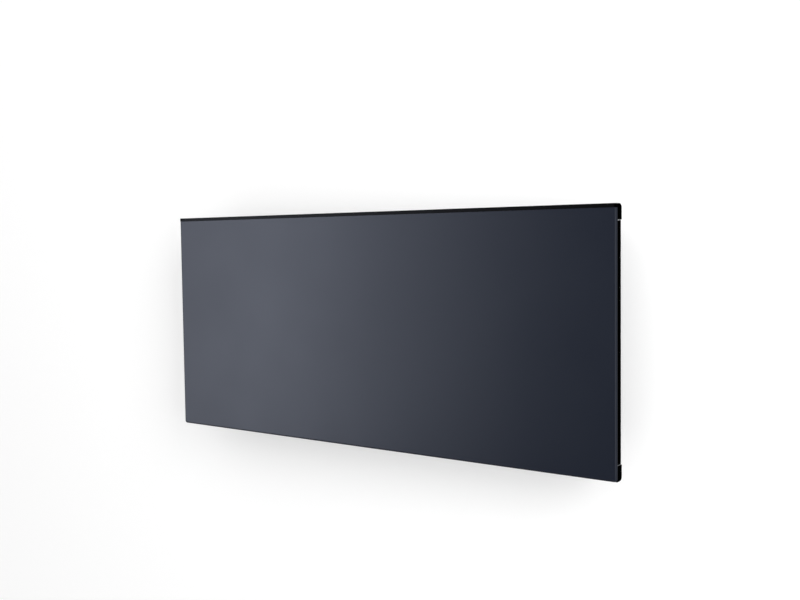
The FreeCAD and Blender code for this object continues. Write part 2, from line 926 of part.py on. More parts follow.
fascia_screw_places = [
    (x, y)
    for x in (f"{fascia_left} + size.fascia_screw_inset", f"{fascia_right} - size.fascia_screw_inset")
    for y in (f"{fascia_front} + size.fascia_screw_inset", f"{fascia_back} - size.fascia_screw_inset")
]
small_hole = "(size.screw_radius * size.small_screw_scale + size.screw_clearance)"
control_cut = rectangle(
    casing,
    "casing_control_cut",
    "XY_Plane",
    casing_top,
    (f"{tub_x[0]} - size.tub_clearance", f"{tub_x[1]} + size.tub_clearance"),
    (f"{tub_y[0]} - size.tub_clearance", f"{tub_y[1]} + size.tub_clearance"),
)
pocket(casing, control_cut, "size.casing_sheet + 1")
fascia_drill = circles(casing, "casing_fascia_holes", "XY_Plane", casing_top, small_hole, fascia_screw_places)
pocket(casing, fascia_drill, "size.casing_sheet + 1")
gland_hole = circles(
    casing,
    "casing_gland_hole",
    "XY_Plane",
    f"-{casing_top}",
    "size.gland_thread_radius + size.screw_clearance",
    [(gland_x, casing_mid_y)],
)
pocket(casing, gland_hole, "size.casing_sheet + 1", backwards=True)
sensor_hole = circles(
    casing,
    "casing_sensor_hole",
    "XY_Plane",
    f"-{casing_top}",
    "size.sensor_radius + size.screw_clearance",
    [(sensor_x, casing_mid_y)],
)
pocket(casing, sensor_hole, "size.casing_sheet + 1", backwards=True)
flange_plane = f"-{chassis_back_y}"
flange_holes = circles(casing, "casing_flange_holes", "XZ_Plane", flange_plane, hole_radius, casing_fixings)
pocket(casing, flange_holes, "size.casing_sheet + 1")
back_plane = f"-{casing_back_y}"
hanger_holes = circles(casing, "casing_hanger_holes", "XZ_Plane", back_plane, hole_radius, hanger_fixings)
pocket(casing, hanger_holes, "size.casing_sheet + 1", backwards=True)

vent_x = f"(-{casing_half_width} + size.vent_margin)"
vent_steps = f"floor(({partition_x} - size.vent_margin - {vent_x}) / size.vent_pitch)"
vent = sketch_on(casing, "casing_vent", "XY_Plane", "0")
vent_radius = number("size.vent_width / 2")
vent_centre = number(vent_x)
vent_low = number(f"{casing_mid_y} - size.vent_length / 2 + size.vent_width / 2")
vent_high = number(f"{casing_mid_y} + size.vent_length / 2 - size.vent_width / 2")
upward = FreeCAD.Vector(0, 0, 1)
far_ring = Part.Circle(FreeCAD.Vector(vent_centre, vent_high, 0), upward, vent_radius)
near_ring = Part.Circle(FreeCAD.Vector(vent_centre, vent_low, 0), upward, vent_radius)
vent.addGeometry(Part.ArcOfCircle(far_ring, 0, math.pi), False)
vent.addGeometry(Part.ArcOfCircle(near_ring, math.pi, 2 * math.pi), False)
for shift in (vent_radius, -vent_radius):
    low_end = FreeCAD.Vector(vent_centre + shift, vent_low, 0)
    high_end = FreeCAD.Vector(vent_centre + shift, vent_high, 0)
    vent.addGeometry(Part.LineSegment(low_end, high_end), False)
for arc, arc_end, line, line_end in ((0, 1, 2, 2), (1, 2, 2, 1), (0, 2, 3, 2), (1, 1, 3, 1)):
    vent.addConstraint(Sketcher.Constraint("Tangent", arc, arc_end, line, line_end))
vent.addConstraint(Sketcher.Constraint("Equal", 0, 1))
vent_ring = vent.addConstraint(Sketcher.Constraint("Radius", 0, vent_radius))
vent.setExpression(f"Constraints[{vent_ring}]", "size.vent_width / 2")
pin_down(vent, 0, 3, vent_x, f"{casing_mid_y} + (size.vent_length - size.vent_width) / 2")
pin_down(vent, 1, 3, vent_x, f"{casing_mid_y} - (size.vent_length - size.vent_width) / 2")
first_vent = pocket(casing, vent)
vents = casing.newObject("PartDesign::LinearPattern", "casing_vents")
vents.Originals = [first_vent]
vents.Direction = (vent, ["H_Axis"])
vents.setExpression("Length", f"size.vent_pitch * {vent_steps}")
vents.setExpression("Occurrences", f"{vent_steps} + 1")
casing.Tip = vents

# Partition plate: keeps the heat away from the electronics, with a sleeve for the leads
grommet_y = f"({casing_mid_y} + size.casing_depth / 5)"
grommet_z = "(size.panel_height / 33)"
plate_half_height = f"({casing_top} - size.casing_flange - size.casing_sheet)"
neck_radius = "(size.grommet_radius - size.grommet_wall)"
partition_wall = block(
    "partition_wall",
    (partition_x, f"{partition_x} + size.partition_sheet"),
    (chassis_back_y, f"{casing_inner_y} - size.casing_sheet"),
    (f"-{plate_half_height}", plate_half_height),
)
partition_base = block(
    "partition_base",
    (partition_x, f"{partition_x} + size.partition_sheet + size.partition_foot"),
    (chassis_back_y, f"{chassis_back_y} + size.partition_sheet"),
    (f"-{plate_half_height}", plate_half_height),
)
partition_holes = drill(
    "partition", partition_fixings, hole_radius, (f"{chassis_back_y} - 1", f"{chassis_back_y} + 3")
)
sleeve_axis = (grommet_y, grommet_z)
sleeve_reach = "(2 * size.partition_sheet)"
near_face = f"({partition_x} - {sleeve_reach})"
far_face = f"({partition_x} + size.partition_sheet + {sleeve_reach})"
neck_hole = f"{neck_radius} + size.screw_clearance"
partition_holes += [rod("partition_sleeve_hole", "X", neck_hole, (near_face, far_face), sleeve_axis)]
partition = cut("partition_plate", fuse("partition_blank", [partition_wall, partition_base]), partition_holes)
node(partition, "partition_plate")

sleeve_parts = [
    rod("sleeve_neck", "X", neck_radius, (near_face, far_face), sleeve_axis),
    rod("sleeve_near", "X", "size.grommet_radius", (near_face, partition_x), sleeve_axis),
    rod(
        "sleeve_far",
        "X",
        "size.grommet_radius",
        (f"{partition_x} + size.partition_sheet", far_face),
        sleeve_axis,
    ),
]
sleeve_bore = rod(
    "sleeve_bore", "X", f"{neck_radius} - size.grommet_wall / 2", (near_face, far_face), sleeve_axis
)
node(cut("lead_grommet", fuse("sleeve", sleeve_parts), [sleeve_bore]), "lead_grommet")

# Heating element: a crossed aluminium extrusion on a sheathed rod, carried by two folded brackets
element_axis = (casing_mid_y, element_z)
wings = []
for tilt in ("1", "-1"):
    wing = doc.addObject("Part::Box", "element_wing")
    wing.Placement = FreeCAD.Placement(FreeCAD.Vector(), FreeCAD.Rotation(FreeCAD.Vector(1, 0, 0), 1))
    angle = f"{tilt} * size.wing_angle"
    bind(
        wing,
        Length=f"{element_right} - {element_left}",
        Width="size.wing_sheet",
        Height="size.wing_length",
    )
    wing.setExpression("Placement.Rotation.Angle", angle)
    place(
        wing,
        element_left,
        f"{casing_mid_y} - size.wing_sheet / 2 * cos({angle}) + size.wing_length / 2 * sin({angle})",
        f"{element_z} - size.wing_sheet / 2 * sin({angle}) - size.wing_length / 2 * cos({angle})",
    )
    wings.append(wing)
hub = rod("element_hub", "X", "size.hub_radius", (element_left, element_right), element_axis)
hub_bore = rod(
    "element_bore", "X", "size.rod_radius + size.rod_clearance", (element_left, element_right), element_axis
)
node(cut("element_fins", fuse("element_section", [hub] + wings), [hub_bore]), "element_fins")

rod_left = f"({left_plate} - size.bracket_sheet - size.rod_overhang)"
rod_right = f"({right_plate} + size.bracket_sheet + size.rod_overhang)"
rod_parts = [
    rod("element_sheath", "X", "size.rod_radius", (rod_left, rod_right), element_axis),
    rod(
        "element_terminal",
        "X",
        "size.terminal_radius",
        (f"{rod_left} - size.terminal_length", f"{rod_right} + size.terminal_length"),
        element_axis,
    ),
]
node(fuse("element_rod", rod_parts), "element_rod")

insulators = []
for span in (
    (f"{left_plate} - size.bracket_sheet - size.insulator_length", f"{left_plate} - size.bracket_sheet"),
    (f"{right_plate} + size.bracket_sheet", f"{right_plate} + size.bracket_sheet + size.insulator_length"),
):
    collar = rod("insulator_collar", "X", "size.insulator_radius", span, element_axis)
    bore = rod("insulator_bore", "X", "size.rod_radius + size.rod_clearance", span, element_axis)
    insulators.append(cut("insulator", collar, [bore]))
node(together("element_insulators", insulators), "element_insulators")

for side, wall, foot, spots in (
    (
        "left",
        (f"{left_plate} - size.bracket_sheet", left_plate),
        (f"{left_plate} - size.bracket_sheet - size.element_bracket_foot", left_plate),
        bracket_fixings[:2],
    ),
    (
        "right",
        (right_plate, f"{right_plate} + size.bracket_sheet"),
        (right_plate, f"{right_plate} + size.bracket_sheet + size.element_bracket_foot"),
        bracket_fixings[2:],
    ),
):
    half = "size.element_bracket_height / 2"
    rise = (f"{element_z} - {half}", f"{element_z} + {half}")
    web = block(f"element_web_{side}", wall, (chassis_back_y, f"{casing_mid_y} + 3 * size.rod_radius"), rise)
    foot_y = (chassis_back_y, f"{chassis_back_y} + size.bracket_sheet")
    base = block(f"element_base_{side}", foot, foot_y, rise)
    holes = drill(
        f"element_base_{side}", spots, hole_radius, (f"{chassis_back_y} - 1", f"{chassis_back_y} + 3")
    )
    rod_hole = "size.rod_radius + size.rod_clearance"
    holes += [rod(f"element_web_hole_{side}", "X", rod_hole, wall, element_axis)]
    label = f"element_bracket_{side}"
    node(cut(label, fuse(f"element_fold_{side}", [web, base]), holes), label)

# Thermal cut-out on the chassis plate above the element
cutout_x = f"({element_right} - size.electronics_width / 2)"
cutout_face = f"({chassis_back_y} + size.cutout_height)"
cutout_parts = [
    block(
        "cutout_flange",
        (f"{cutout_x} - 1.7 * size.cutout_radius", f"{cutout_x} + 1.7 * size.cutout_radius"),
        (chassis_back_y, f"{chassis_back_y} + 1"),
        ("-size.cutout_radius", "size.cutout_radius"),
    ),
    rod("cutout_can", "Y", "size.cutout_radius", (chassis_back_y, cutout_face), (cutout_x, "0")),
]
tab_end = f"({cutout_face} + size.tab_length)"
for hand in ("-1", "1"):
    tab_x = f"{cutout_x} + {hand} * size.cutout_radius / 2"
    cutout_parts.append(
        block(
            "cutout_tab",
            (f"{tab_x} - size.tab_sheet / 2", f"{tab_x} + size.tab_sheet / 2"),
            (cutout_face, tab_end),
            ("-size.tab_width / 2", "size.tab_width / 2"),
        )
    )
node(fuse("thermal_cutout", cutout_parts), "thermal_cutout")

# Air sensor whose nose looks out through the casing floor
sensor_parts = [
    block(
        "sensor_body",
        (f"{sensor_x} - size.sensor_holder / 2", f"{sensor_x} + size.sensor_holder / 2"),
        (f"{casing_mid_y} - size.sensor_holder / 2", f"{casing_mid_y} + size.sensor_holder / 2"),
        (casing_floor, f"{casing_floor} + size.sensor_holder"),
    ),
    rod(
        "sensor_tip",
        "Z",
        "size.sensor_radius",
        (f"-{casing_top} - size.sensor_nose", casing_floor),
        (sensor_x, casing_mid_y),
    ),
]
node(fuse("air_sensor", sensor_parts), "air_sensor")

# Control unit: a tub let into the casing's top, closed by a fascia with a window, three keys and a rocker
tub_floor = f"({casing_top} - size.tub_height)"
board_bottom = f"({casing_top} - size.board_drop)"
board_top = f"({board_bottom} + size.board_sheet)"
fascia_top = f"({casing_top} + size.fascia_sheet)"
board_x = (
    f"{tub_x[0]} + size.tub_wall + size.board_gap",
    f"{tub_x[0]} + size.tub_wall + size.board_gap + size.board_length",
)
board_y = (f"{tub_y[0]} + size.tub_wall + size.board_gap", f"{tub_y[1]} - size.tub_wall - size.board_gap")
display_x = f"({fascia_left} + size.display_inset)"
rocker_x = f"({fascia_left} + size.rocker_inset)"
key_places = [
    (f"{fascia_left} + size.key_inset + {index} * size.key_pitch", casing_mid_y) for index in range(3)
]
entry_places = [(f"{board_x[0]} + size.board_length * 0.7", casing_mid_y), (rocker_x, casing_mid_y)]

tub_shell = cut(
    "tub_shell",
    block("tub_outside", tub_x, tub_y, (tub_floor, casing_top)),
    [
        block(
            "tub_inside",
            (f"{tub_x[0]} + size.tub_wall", f"{tub_x[1]} - size.tub_wall"),
            (f"{tub_y[0]} + size.tub_wall", f"{tub_y[1]} - size.tub_wall"),
            (f"{tub_floor} + size.tub_wall", f"{casing_top} + 1"),
        )
    ],
)
posts = [
    rod("tub_post", "Z", "size.post_radius", (f"{tub_floor} + size.tub_wall / 2", board_bottom), (x, y))
    for x in (f"{board_x[0]} + size.post_radius", f"{board_x[1]} - size.post_radius")
    for y in (f"{board_y[0]} + size.post_radius", f"{board_y[1]} - size.post_radius")
]
entries = [
    rod(
        "tub_entry",
        "Z",
        "size.lead_floor_hole",
        (f"{tub_floor} - 1", f"{tub_floor} + size.tub_wall + 1"),
        (f"{x} {shift}", y),
    )
    for x, y in entry_places
    for shift in ("- 0", "- size.lead_entry_pitch")
]
node(cut("control_housing", fuse("tub_with_posts", [tub_shell] + posts), entries), "control_housing")

fascia = new_body("control_fascia")
fascia_plate = rectangle(
    fascia, "fascia_plate", "XY_Plane", casing_top, (fascia_left, fascia_right), (fascia_front, fascia_back)
)
pad(fascia, fascia_plate, "size.fascia_sheet")
round_edges(fascia, "fascia_corners", "size.fascia_corner_radius", lambda box: box.ZLength > 1)
round_edges(fascia, "fascia_rim", "size.fascia_sheet / 3", lambda box: near(box.ZMin, number(fascia_top)))
window_half = ("size.window_length / 2", "size.window_width / 2")
recess = rectangle(
    fascia,
    "fascia_recess",
    "XY_Plane",
    fascia_top,
    (
        f"{display_x} - {window_half[0]} - size.window_gap",
        f"{display_x} + {window_half[0]} + size.window_gap",
    ),
    (
        f"{casing_mid_y} - {window_half[1]} - size.window_gap",
        f"{casing_mid_y} + {window_half[1]} + size.window_gap",
    ),
)
pocket(fascia, recess, "size.window_sheet")
opening = rectangle(
    fascia,
    "fascia_opening",
    "XY_Plane",
    fascia_top,
    (
        f"{display_x} - {window_half[0]} + size.window_ledge",
        f"{display_x} + {window_half[0]} - size.window_ledge",
    ),
    (
        f"{casing_mid_y} - {window_half[1]} + size.window_ledge",
        f"{casing_mid_y} + {window_half[1]} - size.window_ledge",
    ),
)
pocket(fascia, opening, "size.fascia_sheet")
key_holes = circles(
    fascia, "fascia_key_holes", "XY_Plane", fascia_top, "size.key_radius + size.key_clearance", key_places
)
pocket(fascia, key_holes, "size.fascia_sheet")
screw_holes = circles(fascia, "fascia_screw_holes", "XY_Plane", fascia_top, small_hole, fascia_screw_places)
pocket(fascia, screw_holes, "size.fascia_sheet")
well_half = (
    "(size.rocker_length / 2 + size.rocker_end_gap)",
    "(size.rocker_width / 2 + size.rocker_side_gap)",
)
switch_half = (f"({well_half[0]} + size.rocker_wall)", f"({well_half[1]} + size.rocker_wall)")
switch_cut = rectangle(
    fascia,
    "fascia_switch_cut",
    "XY_Plane",
    fascia_top,
    (f"{rocker_x} - {switch_half[0]} - 0.1", f"{rocker_x} + {switch_half[0]} + 0.1"),
    (f"{casing_mid_y} - {switch_half[1]} - 0.1", f"{casing_mid_y} + {switch_half[1]} + 0.1"),
)
pocket(fascia, switch_cut, "size.fascia_sheet")
node(fascia, "control_fascia")

fascia_grip = number("size.fascia_sheet + size.casing_sheet + size.screw_overhang")
fascia_spots = [vector(x, y, fascia_top) for x, y in fascia_screw_places]
fascia_screws = screws(fascia_spots, downward, fascia_grip, number("size.small_screw_scale"))
node(shaped("fascia_screws", fascia_screws), "fascia_screws")

window = block(
    "display_window",
    (f"{display_x} - {window_half[0]}", f"{display_x} + {window_half[0]}"),
    (f"{casing_mid_y} - {window_half[1]}", f"{casing_mid_y} + {window_half[1]}"),
    (f"{fascia_top} - size.window_sheet", fascia_top),
)
node(window, "display_window")
display = block(
    "display_module",
    (f"{display_x} - {window_half[0]} + 1", f"{display_x} + {window_half[0]} - 1"),
    (f"{casing_mid_y} - {window_half[1]} + 1", f"{casing_mid_y} + {window_half[1]} - 1"),
    (board_top, f"{casing_top} - 0.4"),
)
node(display, "display_module")
node(block("control_board", board_x, board_y, (board_bottom, board_top)), "control_board")

plunger_top = f"({board_top} + size.tact_height + size.plunger_height)"
tacts = []
for x, y in key_places:
    body_half = "size.tact_body / 2"
    tact_body = block(
        "tact_base",
        (f"{x} - {body_half}", f"{x} + {body_half}"),
        (f"{y} - {body_half}", f"{y} + {body_half}"),
        (board_top, f"{board_top} + size.tact_height"),
    )
    plunger_span = (f"{board_top} + size.tact_height", plunger_top)
    plunger = rod("tact_plunger", "Z", "size.plunger_radius", plunger_span, (x, y))
    tacts.append(fuse("tact", [tact_body, plunger]))
node(together("tact_switches", tacts), "tact_switches")

for label, (x, y) in zip(("key_minus", "key_plus", "key_mode"), key_places):
    key = new_body(label)
    flange_top = f"{casing_top} - size.key_flange_gap"
    flange_bottom = f"{flange_top} - size.key_flange"
    stem_end = f"{plunger_top} + size.key_travel + size.key_end_gap"
    cap_top = f"{fascia_top} + size.key_rise"
    section = outline(
        key,
        f"{label}_section",
        "XZ_Plane",
        "0",
        [
            ("0", stem_end),
            ("size.key_stem_radius", stem_end),
            ("size.key_stem_radius", flange_bottom),
            ("size.key_flange_radius", flange_bottom),
            ("size.key_flange_radius", flange_top),
            ("size.key_radius", flange_top),
            ("size.key_radius", cap_top),
            ("0", cap_top),
        ],
    )
    turning = key.newObject("PartDesign::Revolution", f"{label}_turning")
    turning.Profile = section
    turning.ReferenceAxis = (section, ["V_Axis"])
    turning.Angle = 360
    key.Tip = turning
    round_edges(key, f"{label}_rim", "size.key_rise / 2", lambda box: near(box.ZMin, number(cap_top)))
    place(key, x, y, "0")
    node(key, label)

supply_x = f"({entry_places[0][0]} - size.lead_entry_pitch)"
radio_right = f"({supply_x} - 2 * size.lead_radius)"
radio_left = f"({radio_right} - size.radio_width)"
relay_right = f"({radio_left} - size.board_gap)"
relay = block(
    "relay",
    (f"{relay_right} - size.relay_length", relay_right),
    (f"{casing_mid_y} - size.relay_width / 2", f"{casing_mid_y} + size.relay_width / 2"),
    (f"{board_bottom} - size.relay_height", board_bottom),
)
node(relay, "relay")
radio_sheet = f"({board_bottom} - size.board_sheet / 2)"
radio_board = block(
    "radio_board",
    (radio_left, radio_right),
    (f"{casing_mid_y} - size.radio_length / 2", f"{casing_mid_y} + size.radio_length / 2"),
    (radio_sheet, board_bottom),
)
radio_can = block(
    "radio_can",
    (f"{radio_left} + size.board_gap", f"{radio_right} - size.board_gap"),
    (f"{casing_mid_y} - size.radio_length / 2 + size.board_gap", f"{casing_mid_y} + size.radio_length / 6"),
    (f"{radio_sheet} - size.radio_can_height", radio_sheet),
)
node(fuse("wifi_module", [radio_board, radio_can]), "wifi_module")

# Main switch: a bezelled housing with a rocker on two trunnions
pivot_z = f"({fascia_top} - size.rocker_pivot_drop)"
bezel_half = (f"({switch_half[0]} + size.bezel_overlap)", f"({switch_half[1]} + size.bezel_overlap)")


def around_switch(name, half, z):
    across = (f"{rocker_x} - {half[0]}", f"{rocker_x} + {half[0]}")
    deep = (f"{casing_mid_y} - {half[1]}", f"{casing_mid_y} + {half[1]}")
    return block(name, across, deep, z)


switch_bottom = f"({fascia_top} - size.rocker_well - size.rocker_floor)"
bezel_top = f"({fascia_top} + size.bezel_height)"
switch_tab_half = ("size.tab_sheet / 2", "size.tab_width / 2")
switch_tab_end = f"({switch_bottom} - size.tab_width)"
switch_solid = fuse(
    "switch_solid",
    [
        around_switch("switch_bezel", bezel_half, (fascia_top, bezel_top)),
        around_switch("switch_body", switch_half, (switch_bottom, bezel_top)),
        around_switch("switch_tab", switch_tab_half, (switch_tab_end, switch_bottom)),
    ],
)
well_span = (f"{fascia_top} - size.rocker_well", f"{bezel_top} + 1")
switch_well = around_switch("switch_well", well_half, well_span)
trunnion_hole = rod(
    "switch_trunnion_hole",
    "Y",
    "size.trunnion_radius + size.trunnion_clearance",
    (f"{casing_mid_y} - {switch_half[1]} - 1", f"{casing_mid_y} + {switch_half[1]} + 1"),
    (rocker_x, pivot_z),
)
node(cut("main_switch_housing", switch_solid, [switch_well, trunnion_hole]), "main_switch_housing")

rocker = new_body("main_switch_rocker")
end_x = "size.rocker_length / 2"
rocker_section = outline(
    rocker,
    "rocker_section",
    "XZ_Plane",
    "0",
    [
        (f"-{end_x}", "size.rocker_end_rise"),
        ("0", "size.rocker_mid_rise"),
        (end_x, "size.rocker_end_rise"),
        (f"{end_x} - size.rocker_end_gap", "-size.rocker_shoulder"),
        ("size.rocker_shoulder", "-size.rocker_keel"),
        ("-size.rocker_shoulder", "-size.rocker_keel"),
        (f"-{end_x} + size.rocker_end_gap", "-size.rocker_shoulder"),
    ],
)
pad(rocker, rocker_section, "size.rocker_width", midplane=True)
trunnions = circles(rocker, "rocker_trunnions", "XZ_Plane", "0", "size.trunnion_radius", [("0", "0")])
pad(rocker, trunnions, "size.rocker_width + 2 * size.trunnion_length", midplane=True)
rocker.Placement = FreeCAD.Placement(FreeCAD.Vector(), FreeCAD.Rotation(FreeCAD.Vector(0, 1, 0), 1))
rocker.setExpression("Placement.Rotation.Angle", "size.rocker_angle")
place(rocker, rocker_x, casing_mid_y, pivot_z)
node(rocker, "main_switch_rocker")

# Supply: terminal block, earth stud and cable gland
block_x = f"({partition_x} + size.electronics_width * 0.6)"
block_top = f"({tub_floor} - size.block_drop)"
block_bottom = f"({block_top} - size.block_height)"
block_face = f"({chassis_back_y} + size.block_depth)"
terminal_places = [f"({block_x} + {column} * size.block_length / 3)" for column in ("-1", "0", "1")]
terminal_solid = block(
    "terminal_solid",
    (f"{block_x} - size.block_length / 2", f"{block_x} + size.block_length / 2"),
    (chassis_back_y, block_face),
    (block_bottom, block_top),
)
well_depth = (f"{block_face} - size.block_depth / 3", f"{block_face} + 1")
well_z = f"({block_top} - size.block_height / 2)"
terminal_wells = [
    rod("terminal_well", "Y", "size.block_length / 14", well_depth, (x, well_z)) for x in terminal_places
]
node(cut("terminal_block", terminal_solid, terminal_wells), "terminal_block")

earth_axis = (earth_x, earth_z)
earth_head = f"({chassis_front_y} - size.screw_head_height)"
washer_face = f"({chassis_back_y} + size.earth_washer)"
nut_face = f"({washer_face} + size.earth_nut_height)"
earth_end = f"({nut_face} + 2 * size.earth_nut_height)"
earth_parts = [
    rod("earth_head", "Y", "size.screw_head_radius", (earth_head, chassis_front_y), earth_axis),
    rod("earth_shank", "Y", "size.screw_radius", (chassis_front_y, earth_end), earth_axis),
    rod("earth_washer", "Y", "size.earth_nut_radius * 1.15", (chassis_back_y, washer_face), earth_axis),
    hexagon("earth_nut", "Y", "size.earth_nut_radius", (washer_face, nut_face), earth_axis),
]
node(fuse("earth_stud", earth_parts), "earth_stud")

gland_axis = (gland_x, casing_mid_y)
gland_low = f"(-{casing_top} - size.gland_hex_height - size.gland_dome_height)"
thread_top = f"({casing_floor} + 2 * size.gland_nut_height)"
hex_span = (f"-{casing_top} - size.gland_hex_height", f"-{casing_top}")
overlap_z = f"(-{casing_top} - size.gland_hex_height / 2)"
crown_z = f"({gland_low} + size.gland_crown_height)"
gland_crown = doc.addObject("Part::Cone", "gland_crown")
bind(
    gland_crown,
    Radius1="size.gland_crown_radius",
    Radius2="size.gland_dome_radius",
    Height="size.gland_crown_height",
)
place(gland_crown, gland_x, casing_mid_y, gland_low)
gland_solid = fuse(
    "gland_solid",
    [
        rod("gland_thread", "Z", "size.gland_thread_radius", (overlap_z, thread_top), gland_axis),
        hexagon("gland_hex", "Z", "size.gland_hex_radius", hex_span, gland_axis),
        rod("gland_dome", "Z", "size.gland_dome_radius", (crown_z, overlap_z), gland_axis),
        gland_crown,
    ],
)
gland_bore = rod("gland_bore", "Z", "size.gland_bore_radius", (gland_low, thread_top), gland_axis)
node(cut("cable_gland", gland_solid, [gland_bore]), "cable_gland")
nut_span = (casing_floor, f"{casing_floor} + size.gland_nut_height")
nut_thread = "size.gland_thread_radius + size.screw_clearance"
nut_hole = rod("gland_nut_hole", "Z", nut_thread, nut_span, gland_axis)
nut_hex = hexagon("gland_nut_hex", "Z", "size.gland_hex_radius", nut_span, gland_axis)
node(cut("gland_nut", nut_hex, [nut_hole]), "gland_nut")

# Leads inside the casing
lead_y = f"({chassis_back_y} + size.block_depth / 2)"
turn_z = f"({tub_floor} - 2 * size.lead_bend)"
first_entry = entry_places[0]
switch_entry = entry_places[1]
lead(
    "lead_live",
    [
        (terminal_places[0], lead_y, block_top),
        (terminal_places[0], lead_y, f"{turn_z} - 3 * size.lead_bend"),
        (switch_entry[0], casing_mid_y, turn_z),
        (switch_entry[0], casing_mid_y, switch_tab_end),
    ],
)
lead(
    "lead_neutral",
    [
        (terminal_places[1], lead_y, block_top),
        (terminal_places[1], lead_y, f"{turn_z} - 6 * size.lead_bend"),
        (first_entry[0], casing_mid_y, f"{turn_z} - 2 * size.lead_bend"),
        (first_entry[0], casing_mid_y, board_bottom),
    ],
)
lead(
    "lead_earth",
    [
        (terminal_places[2], lead_y, block_bottom),
        (terminal_places[2], lead_y, earth_z),
        (f"{earth_x} + size.screw_radius + size.screw_clearance", lead_y, earth_z),
    ],
)
upper_sleeve_y = f"({grommet_y} - 1.4 * size.lead_radius)"
lower_sleeve_y = f"({grommet_y} + 1.4 * size.lead_radius)"
gap_x = f"({partition_x} - 1.2 * size.lead_bend)"
lead(
    "element_lead_a",
    [
        (supply_x, f"{casing_mid_y} - 1.1 * size.lead_radius", board_bottom),
        (supply_x, f"{casing_mid_y} - 1.1 * size.lead_radius", turn_z),
        (f"{partition_x} + 3 * size.lead_bend", upper_sleeve_y, grommet_z),
        (gap_x, upper_sleeve_y, grommet_z),
        (gap_x, casing_mid_y, f"{element_z} + 2 * size.lead_bend"),
        (gap_x, casing_mid_y, element_z),
        (f"{rod_right} + size.terminal_length", casing_mid_y, element_z),
    ],
)
tab_y = f"({tab_end} - size.lead_radius)"
lead(
    "element_lead_b",
    [
        (supply_x, f"{casing_mid_y} + 1.1 * size.lead_radius", board_bottom),
        (supply_x, f"{casing_mid_y} + 1.1 * size.lead_radius", f"{turn_z} + size.lead_bend"),
        (f"{partition_x} + 3 * size.lead_bend", lower_sleeve_y, grommet_z),
        (f"{partition_x} - 3 * size.lead_bend", lower_sleeve_y, grommet_z),
        (f"{cutout_x} + size.cutout_radius + 3 * size.lead_bend", tab_y, "0"),
        (f"{cutout_x} + size.cutout_radius / 2 + size.tab_sheet / 2", tab_y, "0"),
    ],
)
far_x = f"({rod_left} - size.terminal_length - 1.5 * size.lead_bend)"
lead(
    "element_lead_c",
    [
        (f"{cutout_x} - size.cutout_radius / 2 - size.tab_sheet / 2", tab_y, "0"),
        (far_x, tab_y, "0"),
        (far_x, casing_mid_y, f"{element_z} + 2 * size.lead_bend"),
        (far_x, casing_mid_y, element_z),
        (f"{rod_left} - size.terminal_length", casing_mid_y, element_z),
    ],
)

# Wall bracket: two folded arms with open hook slots, joined by two bars
pin_z = "(-size.pin_drop)"
web_outer = "(size.arm_width / 2)"
web_inner = "(size.arm_width / 2 - size.bracket_sheet)"
slot_radius = "(size.pin_radius + size.pin_clearance)"
slot_top = f"({pin_z} + size.slot_rise)"
rivet_x = f"(({web_outer} + size.crossbar_gap + size.arm_foot_width / 2) / 2)"
rivet_rows = [
    f"{level} * size.crossbar_spacing / 2 + {row} * size.rivet_spacing / 2"
    for level in ("-1", "1")
    for row in ("-1", "1")
]
rivet_hole = "(size.rivet_radius + size.screw_clearance)"
for side, hand, centre_x in (("left", "-1", hanger_left_x), ("right", "1", hanger_right_x)):
    label = f"bracket_arm_{side}"
    arm = new_body(label)
    foot_plate = rectangle(
        arm,
        f"{label}_foot",
        "XZ_Plane",
        "0",
        ("-size.arm_foot_width / 2", "size.arm_foot_width / 2"),
        (f"{pin_z} - size.arm_tail", "size.arm_top"),
    )
    pad(arm, foot_plate, "size.bracket_sheet")
    round_edges(arm, f"{label}_foot_corners", "size.hook_radius", lambda box: box.YLength > 1)
    for web_name, web_x in (("near", f"-{web_outer}"), ("far", web_inner)):
        web = rectangle(
            arm,
            f"{label}_web_{web_name}",
            "YZ_Plane",
            web_x,
            ("-size.arm_depth", "-size.bracket_sheet / 2"),
            (f"{pin_z} - size.hook_tail", "size.arm_top - size.hook_radius"),
        )
        pad(arm, web, "size.bracket_sheet")
    round_edges(
        arm,
        f"{label}_web_corners",
        "size.hook_radius",
        lambda box: near(box.YMax, -number("size.arm_depth")) and box.XLength > 1,
    )
    hook_path = outline(
        arm,
        f"{label}_hook",
        "YZ_Plane",
        "0",
        [
            (f"{pin_y} + {slot_radius}", pin_z),
            (f"{pin_y} + {slot_radius}", slot_top),
            ("-size.arm_depth - 1", slot_top),
            ("-size.arm_depth - 1", f"{slot_top} - 2 * {slot_radius}"),
            (f"{pin_y} - {slot_radius}", f"{slot_top} - 2 * {slot_radius}"),
            (f"{pin_y} - {slot_radius}", pin_z),
        ],
    )
    pocket(arm, hook_path)
    seat = circles(arm, f"{label}_seat", "YZ_Plane", "0", slot_radius, [(pin_y, pin_z)])
    pocket(arm, seat)
    wall_holes = circles(
        arm,
        f"{label}_wall_holes",
        "XZ_Plane",
        "0",
        "size.wall_hole_radius",
        [("0", "-size.hole_spacing / 2"), ("0", "size.hole_spacing / 2")],
    )
    pocket(arm, wall_holes, "size.bracket_sheet + 1", backwards=True)
    rivet_places = [(f"-{hand} * {rivet_x}", z) for z in rivet_rows] + [("0", "size.latch_rivet_height")]
    rivet_holes = circles(arm, f"{label}_rivet_holes", "XZ_Plane", "0", rivet_hole, rivet_places)
    pocket(arm, rivet_holes, "size.bracket_sheet + 1", backwards=True)
    place(arm, centre_x)
    node(arm, label)

